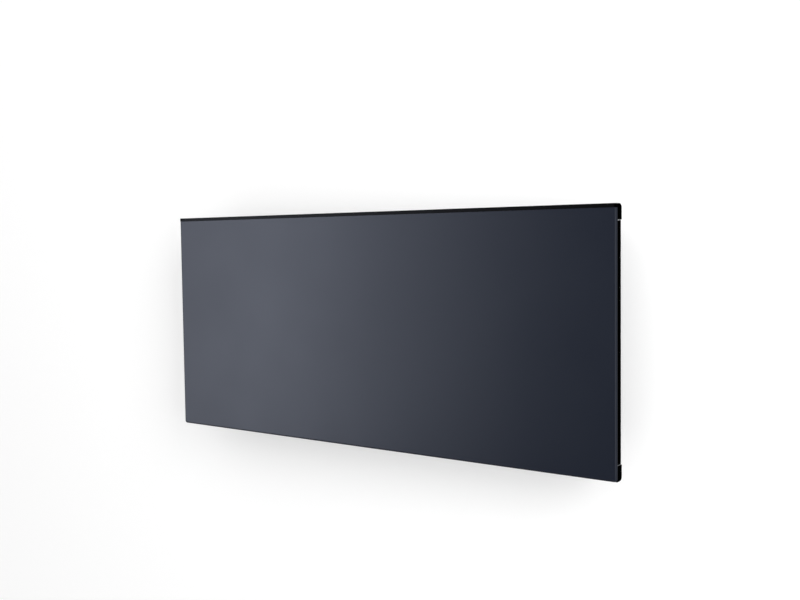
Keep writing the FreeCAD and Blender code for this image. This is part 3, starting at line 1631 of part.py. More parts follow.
bar_reach = f"(size.hanger_spacing / 2 - {web_outer} - size.crossbar_gap)"
bar_rivet_x = f"(size.hanger_spacing / 2 - {rivet_x})"
bar_y = ("-2 * size.bracket_sheet", "-size.bracket_sheet")
for level, rise, rows in (("upper", "1", rivet_rows[2:]), ("lower", "-1", rivet_rows[:2])):
    middle = f"{rise} * size.crossbar_spacing / 2"
    strip = block(
        f"crossbar_strip_{level}",
        (f"-{bar_reach}", bar_reach),
        bar_y,
        (f"{middle} - size.crossbar_height / 2", f"{middle} + size.crossbar_height / 2"),
    )
    spots = [(f"{hand} * {bar_rivet_x}", z) for hand in ("-1", "1") for z in rows]
    label = f"bracket_crossbar_{level}"
    node(cut(label, strip, drill(label, spots, rivet_hole, (f"{bar_y[0]} - 1", f"{bar_y[1]} + 1"))), label)

bar_grip = number("2 * size.bracket_sheet")
latch_grip = number("size.bracket_sheet + size.latch_sheet")
bar_spots = [vector(f"{hand} * {bar_rivet_x}", bar_y[0], z) for hand in ("-1", "1") for z in rivet_rows]
leaf_face = "-size.bracket_sheet - size.latch_sheet"
leaf_spots = [vector(x, leaf_face, "size.latch_rivet_height") for x in (hanger_left_x, hanger_right_x)]
bracket_rivets = rivets(bar_spots, into_wall, bar_grip) + rivets(leaf_spots, into_wall, latch_grip)
node(shaped("bracket_rivets", bracket_rivets), "bracket_rivets")

# Hangers on the back of the casing: ears carry the hinge pins, a turned-up lip meets the latch spring
hanger_half = f"({web_outer} + size.ear_gap + size.bracket_sheet)"
lip_y_back = f"({hanger_y} + size.lip_reach)"
lip_top = "(size.lip_height + size.lip_upturn)"
for side, centre_x, spots in (
    ("left", hanger_left_x, hanger_rows),
    ("right", hanger_right_x, hanger_rows),
):
    label = f"hanger_{side}"
    hanger = new_body(label)
    back_plate = rectangle(
        hanger,
        f"{label}_plate",
        "XZ_Plane",
        f"-{casing_back_y}",
        (f"-{hanger_half}", hanger_half),
        (f"{pin_z} - size.hanger_tail", "size.lip_height"),
    )
    pad(hanger, back_plate, "size.bracket_sheet", backwards=True)
    for ear_name, ear_x in (("near", f"-{hanger_half}"), ("far", f"{hanger_half} - size.bracket_sheet")):
        ear = rectangle(
            hanger,
            f"{label}_ear_{ear_name}",
            "YZ_Plane",
            ear_x,
            (f"{hanger_y} - size.bracket_sheet / 2", f"{pin_y} + size.ear_rear"),
            (f"{pin_z} - size.ear_tail", f"{pin_z} + size.ear_rise"),
        )
        pad(hanger, ear, "size.bracket_sheet")
    lip = outline(
        hanger,
        f"{label}_lip",
        "YZ_Plane",
        "0",
        [
            (f"{hanger_y} - size.bracket_sheet / 2", "size.lip_height - size.bracket_sheet"),
            (lip_y_back, "size.lip_height - size.bracket_sheet"),
            (lip_y_back, lip_top),
            (f"{lip_y_back} - size.bracket_sheet", lip_top),
            (f"{lip_y_back} - size.bracket_sheet", "size.lip_height"),
            (f"{hanger_y} - size.bracket_sheet / 2", "size.lip_height"),
        ],
    )
    pad(hanger, lip, f"2 * {hanger_half}", midplane=True)
    round_edges(
        hanger,
        f"{label}_ear_corners",
        "size.ear_rise / 3",
        lambda box: along_x(box, number(f"{pin_y} + size.ear_rear"), number(f"{pin_z} + size.ear_rise")),
    )
    eye = circles(hanger, f"{label}_eye", "YZ_Plane", "0", slot_radius, [(pin_y, pin_z)])
    pocket(hanger, eye)
    holes = circles(
        hanger, f"{label}_holes", "XZ_Plane", f"-{hanger_y}", hole_radius, [("0", z) for z in spots]
    )
    pocket(hanger, holes, "size.bracket_sheet + 1", backwards=True)
    place(hanger, centre_x)
    node(hanger, label)

pin_reach = f"({hanger_half} + size.pin_end)"
pins = [
    rod("hinge_pin", "X", "size.pin_radius", (f"{x} - {pin_reach}", f"{x} + {pin_reach}"), (pin_y, pin_z))
    for x in (hanger_left_x, hanger_right_x)
]
node(together("hinge_pins", pins), "hinge_pins")
hanger_grip = number("size.bracket_sheet + size.casing_sheet + size.screw_overhang")
hanger_screws = screws([vector(x, hanger_y, z) for x, z in hanger_fixings], into_room, hanger_grip)
node(shaped("hanger_screws", hanger_screws), "hanger_screws")

# Latch springs: leaves riveted to the arms, hooked over the hangers' lips
leaf_y = "(-size.bracket_sheet - size.latch_sheet / 2)"
over_z = f"({lip_top} + size.latch_cover)"
hook_y = f"({lip_y_back} - size.bracket_sheet - size.latch_play - size.latch_sheet / 2)"
hook_z = f"({lip_top} - size.latch_bite)"
leaf_path = [
    (leaf_y, "size.latch_foot"),
    (leaf_y, f"{over_z} - size.lip_reach"),
    (f"{leaf_y} - size.lip_reach / 2", over_z),
    (hook_y, over_z),
    (hook_y, hook_z),
    (f"{hook_y} - size.latch_ramp", over_z),
]
for side, centre_x in (("left", hanger_left_x), ("right", hanger_right_x)):
    start_x = f"{centre_x} - size.latch_width / 2"
    spine = Part.makePolygon([vector(start_x, y, z) for y, z in leaf_path])
    rim = spine.makeOffset2D(number("size.latch_sheet / 2"), 2)
    leaf = Part.Face(rim).extrude(FreeCAD.Vector(number("size.latch_width"), 0, 0))
    eye_start = vector(centre_x, "-size.bracket_sheet - 2 * size.latch_sheet", "size.latch_rivet_height")
    eye = Part.makeCylinder(number(rivet_hole), number("3 * size.latch_sheet"), eye_start, into_wall)
    label = f"latch_spring_{side}"
    node(shaped(label, [leaf.cut(eye)]), label)

# Check every object, then write one file per piece
doc.recompute()
for thing in doc.Objects:
    if "Invalid" in thing.State or "Error" in thing.State:
        raise RuntimeError(f"{thing.Label} did not recompute: {thing.State}")
os.makedirs("parts", exist_ok=True)
for piece in nodes:
    shape = piece.Shape
    if shape.isNull() or not shape.isValid() or shape.Volume <= 0:
        raise RuntimeError(f"{piece.Label} has no sound shape")
    shape.exportStep(f"parts/{piece.Label}.step")
print(len(nodes), "pieces written")
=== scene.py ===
import bpy
import bmesh
import math
from mathutils import Matrix, Vector


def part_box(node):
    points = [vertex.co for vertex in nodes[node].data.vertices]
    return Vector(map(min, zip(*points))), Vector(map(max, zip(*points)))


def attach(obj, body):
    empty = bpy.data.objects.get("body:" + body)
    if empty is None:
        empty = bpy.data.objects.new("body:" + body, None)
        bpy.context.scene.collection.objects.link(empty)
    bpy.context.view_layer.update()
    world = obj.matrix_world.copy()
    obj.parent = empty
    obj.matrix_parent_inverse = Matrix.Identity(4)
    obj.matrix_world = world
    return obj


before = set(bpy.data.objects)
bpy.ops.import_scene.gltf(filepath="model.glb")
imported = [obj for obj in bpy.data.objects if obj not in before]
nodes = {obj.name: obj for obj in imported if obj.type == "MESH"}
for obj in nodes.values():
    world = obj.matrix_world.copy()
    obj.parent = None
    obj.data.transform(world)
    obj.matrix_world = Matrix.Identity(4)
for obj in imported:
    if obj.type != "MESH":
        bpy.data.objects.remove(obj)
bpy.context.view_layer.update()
scene = bpy.context.scene
scene.view_settings.view_transform = "Standard"
print("frame loaded,", len(nodes), "nodes")


# camera, stood where the panel's four edges fall as in the picture
cameraLook = {
    "place": (0.8681, -1.1825, 0.1222),
    "forward": (-0.59121, 0.80450, -0.05700),
    "up": (-0.02335, 0.05356, 0.99829),
    "lens": 45.377,
}


def standCamera(look):
    data = bpy.data.cameras.new("roomCamera")
    data.lens = look["lens"]
    data.sensor_width = 36
    camera = bpy.data.objects.new("roomCamera", data)
    scene.collection.objects.link(camera)
    back = -Vector(look["forward"]).normalized()
    side = Vector(look["up"]).cross(back).normalized()
    upward = back.cross(side)
    turn = Matrix((side, upward, back)).transposed().to_4x4()
    camera.matrix_world = Matrix.Translation(look["place"]) @ turn
    scene.camera = camera


standCamera(cameraLook)
print("camera stands")


# node helpers for the finishes
def srgb(red, green, blue):
    def straight(value):
        value = value / 255
        return value / 12.92 if value <= 0.04045 else ((value + 0.055) / 1.055) ** 2.4

    return (straight(red), straight(green), straight(blue), 1)


def addNode(tree, kind, settings=None, **inputs):
    made = tree.nodes.new(kind)
    for name, value in (settings or {}).items():
        setattr(made, name, value)
    for name, value in inputs.items():
        numbered = name.startswith("in") and name[2:].isdigit()
        socket = made.inputs[int(name[2:]) if numbered else name]
        if isinstance(value, bpy.types.NodeSocket):
            tree.links.new(value, socket)
        else:
            socket.default_value = value
    return made


def freshFinish(name):
    material = bpy.data.materials.new(name)
    material.use_nodes = True
    tree = material.node_tree
    shader = tree.nodes["Principled BSDF"]
    spot = addNode(tree, "ShaderNodeTexCoord").outputs["Object"]
    return material, tree, shader, spot


def noiseAt(tree, spot, scale, detail=2.0, rough=0.55):
    return addNode(
        tree, "ShaderNodeTexNoise", Vector=spot, Scale=scale, Detail=detail, Roughness=rough
    ).outputs["Fac"]


def stretchedSpot(tree, spot, stretch):
    return addNode(tree, "ShaderNodeMapping", Vector=spot, Scale=stretch).outputs["Vector"]


def rangeOf(tree, value, low, high, start=0.3, end=0.7):
    mapped = addNode(tree, "ShaderNodeMapRange", Value=value)
    mapped.inputs["From Min"].default_value = start
    mapped.inputs["From Max"].default_value = end
    mapped.inputs["To Min"].default_value = low
    mapped.inputs["To Max"].default_value = high
    return mapped.outputs["Result"]


def blendOf(tree, share, first, second):
    mix = addNode(tree, "ShaderNodeMix", {"data_type": "RGBA"})
    tree.links.new(share, mix.inputs[0])
    mix.inputs[6].default_value = first
    mix.inputs[7].default_value = second
    return mix.outputs[2]


def raiseGrain(tree, shader, height, depth, strength):
    bump = addNode(tree, "ShaderNodeBump", Height=height, Distance=depth, Strength=strength)
    tree.links.new(bump.outputs["Normal"], shader.inputs["Normal"])


# painted and moulded surfaces: fine grain, a little drift in tint and gloss
def grainedFinish(name, look):
    material, tree, shader, spot = freshFinish(name)
    grain = noiseAt(tree, spot, look["grain"], 3.0)
    drift = noiseAt(tree, spot, look["drift"])
    tint = blendOf(tree, rangeOf(tree, grain, 0, 1), look["dark"], look["light"])
    tree.links.new(tint, shader.inputs["Base Color"])
    tree.links.new(rangeOf(tree, drift, *look["gloss"]), shader.inputs["Roughness"])
    shader.inputs["Specular IOR Level"].default_value = look["shine"]
    raiseGrain(tree, shader, grain, look["relief"], look["bite"])
    return material


# bare metal: drawn lines along one axis in the gloss, blotches in the tint
def metalFinish(name, look):
    material, tree, shader, spot = freshFinish(name)
    lines = noiseAt(tree, stretchedSpot(tree, spot, look["stretch"]), look["lines"], 3.0)
    blotch = noiseAt(tree, spot, look["blotch"], 3.0)
    tint = blendOf(tree, rangeOf(tree, blotch, 0, 1), look["dark"], look["light"])
    tree.links.new(tint, shader.inputs["Base Color"])
    tree.links.new(rangeOf(tree, lines, *look["gloss"]), shader.inputs["Roughness"])
    shader.inputs["Metallic"].default_value = look["metal"]
    raiseGrain(tree, shader, lines, look["relief"], look["bite"])
    return material


paintLooks = {
    "anthraciteCoat": dict(
        dark=srgb(14, 20, 33), light=srgb(20, 26, 39), grain=1500, drift=7, gloss=(0.28, 0.32),
        shine=0.5, relief=0.00008, bite=0.06,
    ),
    "blackCoat": dict(
        dark=srgb(4, 4, 5), light=srgb(8, 8, 9), grain=1300, drift=8, gloss=(0.32, 0.38),
        shine=0.10, relief=0.00008, bite=0.10,
    ),
    "deepBlackCoat": dict(
        dark=srgb(1, 1, 1), light=srgb(3, 3, 3), grain=1300, drift=8, gloss=(0.60, 0.70),
        shine=0.0, relief=0.00008, bite=0.12,
    ),
    "casingCoat": dict(
        dark=srgb(22, 23, 25), light=srgb(29, 30, 32), grain=1100, drift=6, gloss=(0.50, 0.58),
        shine=0.4, relief=0.0001, bite=0.15,
    ),
    "blackMoulding": dict(
        dark=srgb(5, 5, 6), light=srgb(9, 9, 10), grain=2600, drift=15, gloss=(0.58, 0.66),
        shine=0.14, relief=0.00006, bite=0.2,
    ),
    "keyMoulding": dict(
        dark=srgb(40, 41, 44), light=srgb(47, 48, 51), grain=3000, drift=40, gloss=(0.42, 0.5),
        shine=0.4, relief=0.00004, bite=0.15,
    ),
    "greyMoulding": dict(
        dark=srgb(186, 187, 187), light=srgb(200, 201, 200), grain=2200, drift=25, gloss=(0.42, 0.52),
        shine=0.4, relief=0.00005, bite=0.15,
    ),
    "relayCase": dict(
        dark=srgb(20, 58, 128), light=srgb(28, 70, 146), grain=2400, drift=40, gloss=(0.3, 0.38),
        shine=0.5, relief=0.00004, bite=0.1,
    ),
    "ceramicBody": dict(
        dark=srgb(226, 221, 210), light=srgb(240, 236, 228), grain=900, drift=60, gloss=(0.28, 0.4),
        shine=0.5, relief=0.00008, bite=0.2,
    ),
    "softRubber": dict(
        dark=srgb(20, 20, 20), light=srgb(29, 29, 29), grain=1600, drift=30, gloss=(0.62, 0.74),
        shine=0.35, relief=0.0001, bite=0.25,
    ),
    "brownSleeve": dict(
        dark=srgb(92, 52, 30), light=srgb(108, 64, 38), grain=1200, drift=50, gloss=(0.4, 0.5),
        shine=0.45, relief=0.00008, bite=0.2,
    ),
    "blueSleeve": dict(
        dark=srgb(34, 86, 160), light=srgb(44, 100, 178), grain=1200, drift=50, gloss=(0.4, 0.5),
        shine=0.45, relief=0.00008, bite=0.2,
    ),
    "boardMask": dict(
        dark=srgb(18, 84, 48), light=srgb(26, 104, 60), grain=420, drift=70, gloss=(0.3, 0.4),
        shine=0.5, relief=0.00004, bite=0.3,
    ),
    "printedSign": dict(
        dark=srgb(188, 190, 192), light=srgb(206, 208, 210), grain=2600, drift=90, gloss=(0.5, 0.6),
        shine=0.3, relief=0.00002, bite=0.1,
    ),
    "displayGlass": dict(
        dark=srgb(10, 12, 13), light=srgb(14, 16, 17), grain=700, drift=60, gloss=(0.12, 0.18),
        shine=0.5, relief=0.00002, bite=0.05,
    ),
}
metalLooks = {
    "zincPlate": dict(
        dark=srgb(176, 179, 182), light=srgb(203, 206, 209), lines=500, stretch=(0.08, 1, 1), blotch=45,
        gloss=(0.30, 0.42), metal=0.75, relief=0.00004, bite=0.12,
    ),
    "springLeaf": dict(
        dark=srgb(128, 132, 140), light=srgb(150, 154, 162), lines=800, stretch=(1, 1, 0.05), blotch=30,
        gloss=(0.25, 0.36), metal=0.85, relief=0.00004, bite=0.15,
    ),
    "drawnAluminium": dict(
        dark=srgb(205, 206, 208), light=srgb(222, 223, 225), lines=900, stretch=(0.03, 1, 1), blotch=20,
        gloss=(0.28, 0.42), metal=0.9, relief=0.00005, bite=0.2,
    ),
    "heatedSheath": dict(
        dark=srgb(112, 106, 96), light=srgb(150, 146, 138), lines=700, stretch=(0.1, 1, 1), blotch=60,
        gloss=(0.35, 0.5), metal=0.8, relief=0.00004, bite=0.15,
    ),
    "tinnedCan": dict(
        dark=srgb(182, 183, 186), light=srgb(206, 207, 210), lines=900, stretch=(1, 0.1, 1), blotch=80,
        gloss=(0.26, 0.38), metal=0.9, relief=0.00003, bite=0.1,
    ),
}
finishes = {name: grainedFinish(name, look) for name, look in paintLooks.items()}
finishes.update({name: metalFinish(name, look) for name, look in metalLooks.items()})


# galvanised sheet: crystal spangles in slightly different greys
spangleLook = {
    "cell": 130, "drift": 14, "dark": srgb(150, 155, 160), "light": srgb(196, 200, 204), "gloss": (0.34, 0.5),
    "metal": 0.8, "relief": 0.00003, "bite": 0.15,
}


def spangledFinish(name, look):
    material, tree, shader, spot = freshFinish(name)
    cells = addNode(tree, "ShaderNodeTexVoronoi", Vector=spot, Scale=look["cell"])
    shade = addNode(tree, "ShaderNodeSeparateColor", Color=cells.outputs["Color"]).outputs["Red"]
    drift = noiseAt(tree, spot, look["drift"], 3.0)
    tint = blendOf(tree, rangeOf(tree, shade, 0, 1, 0, 1), look["dark"], look["light"])
    tree.links.new(tint, shader.inputs["Base Color"])
    tree.links.new(rangeOf(tree, drift, *look["gloss"]), shader.inputs["Roughness"])
    shader.inputs["Metallic"].default_value = look["metal"]
    raiseGrain(tree, shader, shade, look["relief"], look["bite"])
    return material


finishes["galvanisedSheet"] = spangledFinish("galvanisedSheet", spangleLook)


# woven heat sleeve on the element leads
braidLook = {
    "bands": 250, "dark": srgb(186, 180, 166), "light": srgb(226, 222, 212), "gloss": (0.7, 0.85),
    "shine": 0.3, "relief": 0.0002, "bite": 0.4,
}


def braidedFinish(name, look):
    material, tree, shader, spot = freshFinish(name)
    strands = []
    for way in (1, -1):
        turned = stretchedSpot(tree, spot, (way, 1, 1))
        wave = addNode(
            tree, "ShaderNodeTexWave", {"bands_direction": "DIAGONAL"}, Vector=turned, Scale=look["bands"]
        )
        strands.append(wave.outputs["Fac"])
    weave = addNode(
        tree, "ShaderNodeMath", {"operation": "MAXIMUM"}, in0=strands[0], in1=strands[1]
    ).outputs["Value"]
    tint = blendOf(tree, weave, look["dark"], look["light"])
    tree.links.new(tint, shader.inputs["Base Color"])
    tree.links.new(rangeOf(tree, weave, *look["gloss"]), shader.inputs["Roughness"])
    shader.inputs["Specular IOR Level"].default_value = look["shine"]
    raiseGrain(tree, shader, weave, look["relief"], look["bite"])
    return material


finishes["braidedSleeve"] = braidedFinish("braidedSleeve", braidLook)

# earth lead: a yellow stripe on one flank of the green sleeve
earthLook = {
    "green": srgb(46, 128, 52), "yellow": srgb(222, 196, 40), "edge": (0.25, 0.35), "grain": 1200,
    "gloss": (0.4, 0.5), "relief": 0.00006, "bite": 0.2,
}


def stripedFinish(name, look):
    material, tree, shader, spot = freshFinish(name)
    flank = addNode(tree, "ShaderNodeTexCoord").outputs["Normal"]
    side = addNode(tree, "ShaderNodeSeparateXYZ", Vector=flank).outputs["X"]
    stripe = rangeOf(tree, side, 0, 1, *look["edge"])
    tree.links.new(blendOf(tree, stripe, look["green"], look["yellow"]), shader.inputs["Base Color"])
    grain = noiseAt(tree, spot, look["grain"])
    tree.links.new(rangeOf(tree, grain, *look["gloss"]), shader.inputs["Roughness"])
    raiseGrain(tree, shader, grain, look["relief"], look["bite"])
    return material


finishes["earthSleeve"] = stripedFinish("earthSleeve", earthLook)

# smoked lens over the display
lensLook = {"tint": srgb(70, 72, 76), "haze": 90, "gloss": (0.05, 0.09), "clear": 0.85, "bend": 1.49}


def lensFinish(name, look):
    material, tree, shader, spot = freshFinish(name)
    haze = noiseAt(tree, spot, look["haze"])
    shader.inputs["Base Color"].default_value = look["tint"]
    tree.links.new(rangeOf(tree, haze, *look["gloss"]), shader.inputs["Roughness"])
    shader.inputs["Transmission Weight"].default_value = look["clear"]
    shader.inputs["IOR"].default_value = look["bend"]
    return material


finishes["smokedLens"] = lensFinish("smokedLens", lensLook)

# side rails: black coat, worn to bare metal along the sawn ends
sawnLook = {"bare": 0.0011, "soft": 0.0004, "metal": srgb(120, 122, 126), "gloss": 0.5}


def sawnFinish(name, look, coat):
    material, tree, shader, spot = freshFinish(name)
    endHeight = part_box("side_rail_right")[1][2]
    grain = noiseAt(tree, spot, coat["grain"], 3.0)
    tint = blendOf(tree, rangeOf(tree, grain, 0, 1), coat["dark"], coat["light"])
    height = addNode(tree, "ShaderNodeSeparateXYZ", Vector=spot).outputs["Z"]
    level = addNode(tree, "ShaderNodeMath", {"operation": "ABSOLUTE"}, in0=height).outputs["Value"]
    chipped = addNode(
        tree, "ShaderNodeMath", {"operation": "MULTIPLY_ADD"}, in0=grain, in1=look["soft"], in2=level
    ).outputs["Value"]
    edge = endHeight - look["bare"]
    bare = rangeOf(tree, chipped, 0, 1, edge, edge + look["soft"])
    mix = addNode(tree, "ShaderNodeMix", {"data_type": "RGBA"}, in0=bare, in6=tint, in7=look["metal"])
    tree.links.new(mix.outputs[2], shader.inputs["Base Color"])
    tree.links.new(bare, shader.inputs["Metallic"])
    coatGloss = sum(coat["gloss"]) / 2
    tree.links.new(rangeOf(tree, bare, coatGloss, look["gloss"], 0, 1), shader.inputs["Roughness"])
    shader.inputs["Specular IOR Level"].default_value = coat["shine"]
    raiseGrain(tree, shader, grain, coat["relief"], coat["bite"])
    return material


finishes["sawnCoat"] = sawnFinish("sawnCoat", sawnLook, paintLooks["deepBlackCoat"])

# lit digits of the display
litLook = {
    "dim": srgb(196, 220, 232), "bright": srgb(232, 246, 252), "grain": 900, "glow": 5.0, "gloss": 0.4,
}


def litFinish(name, look):
    material, tree, shader, spot = freshFinish(name)
    cells = noiseAt(tree, spot, look["grain"])
    tint = blendOf(tree, rangeOf(tree, cells, 0, 1), look["dim"], look["bright"])
    tree.links.new(tint, shader.inputs["Base Color"])
    tree.links.new(tint, shader.inputs["Emission Color"])
    shader.inputs["Emission Strength"].default_value = look["glow"]
    shader.inputs["Roughness"].default_value = look["gloss"]
    return material


finishes["litDigit"] = litFinish("litDigit", litLook)
print("finishes mixed,", len(finishes))


# which finish goes on which CAD piece
dressing = {
    "anthraciteCoat": ["front_panel"],
    "blackCoat": ["top_rail", "bottom_rail"],
    "sawnCoat": ["side_rail_left", "side_rail_right"],
    "deepBlackCoat": [
        "top_end_cap_left", "top_end_cap_right", "bottom_end_cap_left", "bottom_end_cap_right",
    ],
    "blackMoulding": [
        "control_fascia", "control_housing", "main_switch_housing", "cable_gland", "gland_nut", "air_sensor",
        "thermal_cutout",
    ],
    "casingCoat": ["rear_casing"],
    "galvanisedSheet": [
        "chassis_plate", "partition_plate", "element_bracket_left", "element_bracket_right",
    ],
    "zincPlate": [
        "panel_standoffs", "panel_screws", "rail_screws", "casing_screws", "element_screws", "hanger_screws",
        "fascia_screws", "bracket_rivets", "hinge_pins", "earth_stud", "bracket_arm_left",
        "bracket_arm_right", "bracket_crossbar_upper", "bracket_crossbar_lower", "hanger_left",
        "hanger_right",
    ],
    "springLeaf": ["latch_spring_left", "latch_spring_right"],
    "drawnAluminium": ["element_fins"],
    "heatedSheath": ["element_rod"],
    "ceramicBody": ["element_insulators"],
    "softRubber": ["lead_grommet"],
    "greyMoulding": ["terminal_block"],
    "boardMask": ["control_board"],
    "displayGlass": ["display_module"],
    "smokedLens": ["display_window"],
    "tinnedCan": ["tact_switches", "wifi_module"],
    "relayCase": ["relay"],
    "keyMoulding": ["key_minus", "key_plus", "key_mode", "main_switch_rocker"],
    "brownSleeve": ["lead_live"],
    "blueSleeve": ["lead_neutral"],
    "earthSleeve": ["lead_earth"],
    "braidedSleeve": ["element_lead_a", "element_lead_b", "element_lead_c"],
}
for finish, pieces in dressing.items():
    for piece in pieces:
        slots = nodes[piece].data.materials
        slots.clear()
        slots.append(finishes[finish])
undressed = sorted(set(nodes) - {piece for pieces in dressing.values() for piece in pieces})
print("CAD pieces dressed, left over:", undressed)


# edges of sheet, mouldings, rivets and pins are broken, as they are after deburring or in a mould
edgeLooks = {
    "foldedSheet": dict(
        width=0.00035,
        pieces=[
            "bracket_arm_left", "bracket_arm_right", "bracket_crossbar_upper", "bracket_crossbar_lower",
            "hanger_left", "hanger_right", "latch_spring_left", "latch_spring_right",
        ],
    ),
    "moulding": dict(
        width=0.0004,
        pieces=[
            "top_end_cap_left", "top_end_cap_right", "bottom_end_cap_left", "bottom_end_cap_right",
            "main_switch_rocker", "main_switch_housing", "display_window", "terminal_block", "relay",
            "thermal_cutout", "control_housing",
        ],
    ),
    "turnedPart": dict(width=0.0002, pieces=["bracket_rivets", "hinge_pins"]),
}
breakLook = {"seam": 0.000005, "flat": 0.5, "sharp": 40, "steps": 2}  # angles in degrees


def roundEdges(piece, width, steps, sharp):
    bevel = piece.modifiers.new("roundedEdge", "BEVEL")
    bevel.width = width
    bevel.segments = steps
    bevel.limit_method = "ANGLE"
    bevel.angle_limit = math.radians(sharp)


def breakEdges(piece, width, look):
    weld = piece.modifiers.new("joinSeams", "WELD")
    weld.merge_threshold = look["seam"]
    flat = piece.modifiers.new("clearFlats", "DECIMATE")
    flat.decimate_type = "DISSOLVE"
    flat.angle_limit = math.radians(look["flat"])
    roundEdges(piece, width, look["steps"], look["sharp"])
    piece.modifiers.new("evenShade", "WEIGHTED_NORMAL")


for look in edgeLooks.values():
    for piece in look["pieces"]:
        breakEdges(nodes[piece], look["width"], breakLook)
print("edges broken")


# small raised shapes on a seat: its middle, the way across, the way up and the way out
def seatAt(middle, across=(1, 0, 0), upward=(0, 1, 0)):
    across, upward = Vector(across), Vector(upward)
    axes = Matrix((across, upward, across.cross(upward))).transposed().to_4x4()
    return Matrix.Translation(middle) @ axes


def raisePlate(mesh, seat, outline, low, high):
    under = [mesh.verts.new(seat @ Vector((x, y, low))) for x, y in outline]
    over = [mesh.verts.new(seat @ Vector((x, y, high))) for x, y in outline]
    mesh.faces.new(under[::-1])
    mesh.faces.new(over)
    for here in range(len(outline)):
        there = (here + 1) % len(outline)
        mesh.faces.new((under[here], under[there], over[there], over[here]))


def raiseBar(mesh, seat, middle, reach, half, turn, low, high, steps=6):
    outline = []
    for end, start in ((1, -90), (-1, 90)):
        for step in range(steps + 1):
            angle = math.radians(start + 180 * step / steps)
            outline.append((end * reach + half * math.cos(angle), half * math.sin(angle)))
    cosine, sine = math.cos(turn), math.sin(turn)
    placed = [(middle[0] + x * cosine - y * sine, middle[1] + x * sine + y * cosine) for x, y in outline]
    raisePlate(mesh, seat, placed, low, high)


def raiseArc(mesh, seat, middle, radius, half, start, sweep, low, high, steps=36):
    whole = abs(sweep) >= 360
    rows = []
    for step in range(steps if whole else steps + 1):
        angle = math.radians(start + sweep * step / steps)
        cosine, sine = math.cos(angle), math.sin(angle)
        corners = ((radius - half, low), (radius + half, low), (radius + half, high), (radius - half, high))
        rows.append([
            mesh.verts.new(seat @ Vector((middle[0] + r * cosine, middle[1] + r * sine, out)))
            for r, out in corners
        ])
    for here in range(steps):
        first, second = rows[here], rows[(here + 1) % len(rows)]
        for side in range(len(first)):
            after = (side + 1) % len(first)
            mesh.faces.new((first[side], first[after], second[after], second[side]))
    if not whole:
        mesh.faces.new(rows[0][::-1])
        mesh.faces.new(rows[-1])


def newPiece(name, mesh, finish, body):
    bmesh.ops.recalc_face_normals(mesh, faces=mesh.faces)
    data = bpy.data.meshes.new(name)
    mesh.to_mesh(data)
    mesh.free()
    data.materials.append(finishes[finish])
    piece = bpy.data.objects.new(name, data)
    scene.collection.objects.link(piece)
    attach(piece, body)
    return piece


# printed signs on the keys: less, more, and on or off
keyLook = {
    "reach": 0.0013, "half": 0.00026, "sink": 0.00004, "proud": 0.00005, "ring": 0.0015, "gap": 70,
    "barPlace": 0.75, "barReach": 0.45,  # shares of the ring's radius
}
upright = math.pi / 2


def topSeat(node, shift=0):
    low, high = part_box(node)
    return seatAt(((low[0] + high[0]) / 2 + shift, (low[1] + high[1]) / 2, high[2]))


def signKeys(look):
    low, high = -look["sink"], look["proud"]
    reach, half, ring, gap = look["reach"], look["half"], look["ring"], look["gap"]
    less, more, power = bmesh.new(), bmesh.new(), bmesh.new()
    raiseBar(less, topSeat("key_minus"), (0, 0), reach, half, 0, low, high)
    seat = topSeat("key_plus")
    raiseBar(more, seat, (0, 0), reach, half, 0, low, high)
    stub = (reach - half) / 2
    for way in (1, -1):
        middle = (0, way * (stub + 1.5 * half))
        raiseBar(more, seat, middle, stub - half / 2, half, upright, low, high)
    seat = topSeat("key_mode")
    raiseArc(power, seat, (0, 0), ring, half, 90 + gap / 2, 360 - gap, low, high)
    raiseBar(power, seat, (0, ring * look["barPlace"]), ring * look["barReach"], half, upright, low, high)
    newPiece("sign_less", less, "printedSign", "key_minus")
    newPiece("sign_more", more, "printedSign", "key_plus")
    newPiece("sign_power", power, "printedSign", "key_mode")


signKeys(keyLook)

# moulded collars round the keys
collarLook = {
    "radius": 0.00505, "half": 0.0004, "sink": 0.0002, "proud": 0.00035, "steps": 64, "crown": 0.00015,
}


def collarKeys(look):
    mesh = bmesh.new()
    radius, half, steps = look["radius"], look["half"], look["steps"]
    for node in ("key_minus", "key_plus", "key_mode"):
        seat = topSeat(node)
        seat.translation.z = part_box("control_fascia")[1][2]
        raiseArc(mesh, seat, (0, 0), radius, half, 0, 360, -look["sink"], look["proud"], steps)
    piece = newPiece("key_collars", mesh, "blackMoulding", "heater")
    roundEdges(piece, look["crown"], breakLook["steps"], breakLook["sharp"])


collarKeys(collarLook)

# on and off marks on the rocker's two faces
rockerLook = {
    "onFace": (0.32299, 0.15082), "onTilt": 21.0, "offFace": (0.33020, 0.14968), "offTilt": -3.4,
    "reach": 0.0014, "half": 0.0003, "ring": 0.0014, "sink": 0.00005, "proud": 0.00005,
}


def markRocker(look):
    mesh = bmesh.new()
    low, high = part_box("main_switch_rocker")
    middle = (low[1] + high[1]) / 2
    seats = []
    for face, tilt in (("onFace", "onTilt"), ("offFace", "offTilt")):
        lean = math.radians(look[tilt])
        spot = (look[face][0], middle, look[face][1])
        seats.append(seatAt(spot, (math.cos(lean), 0, -math.sin(lean))))
    raiseBar(mesh, seats[0], (0, 0), look["reach"], look["half"], upright, -look["sink"], look["proud"])
    raiseArc(mesh, seats[1], (0, 0), look["ring"], look["half"], 0, 360, -look["sink"], look["proud"])
    newPiece("rocker_marks", mesh, "printedSign", "main_rocker")


markRocker(rockerLook)

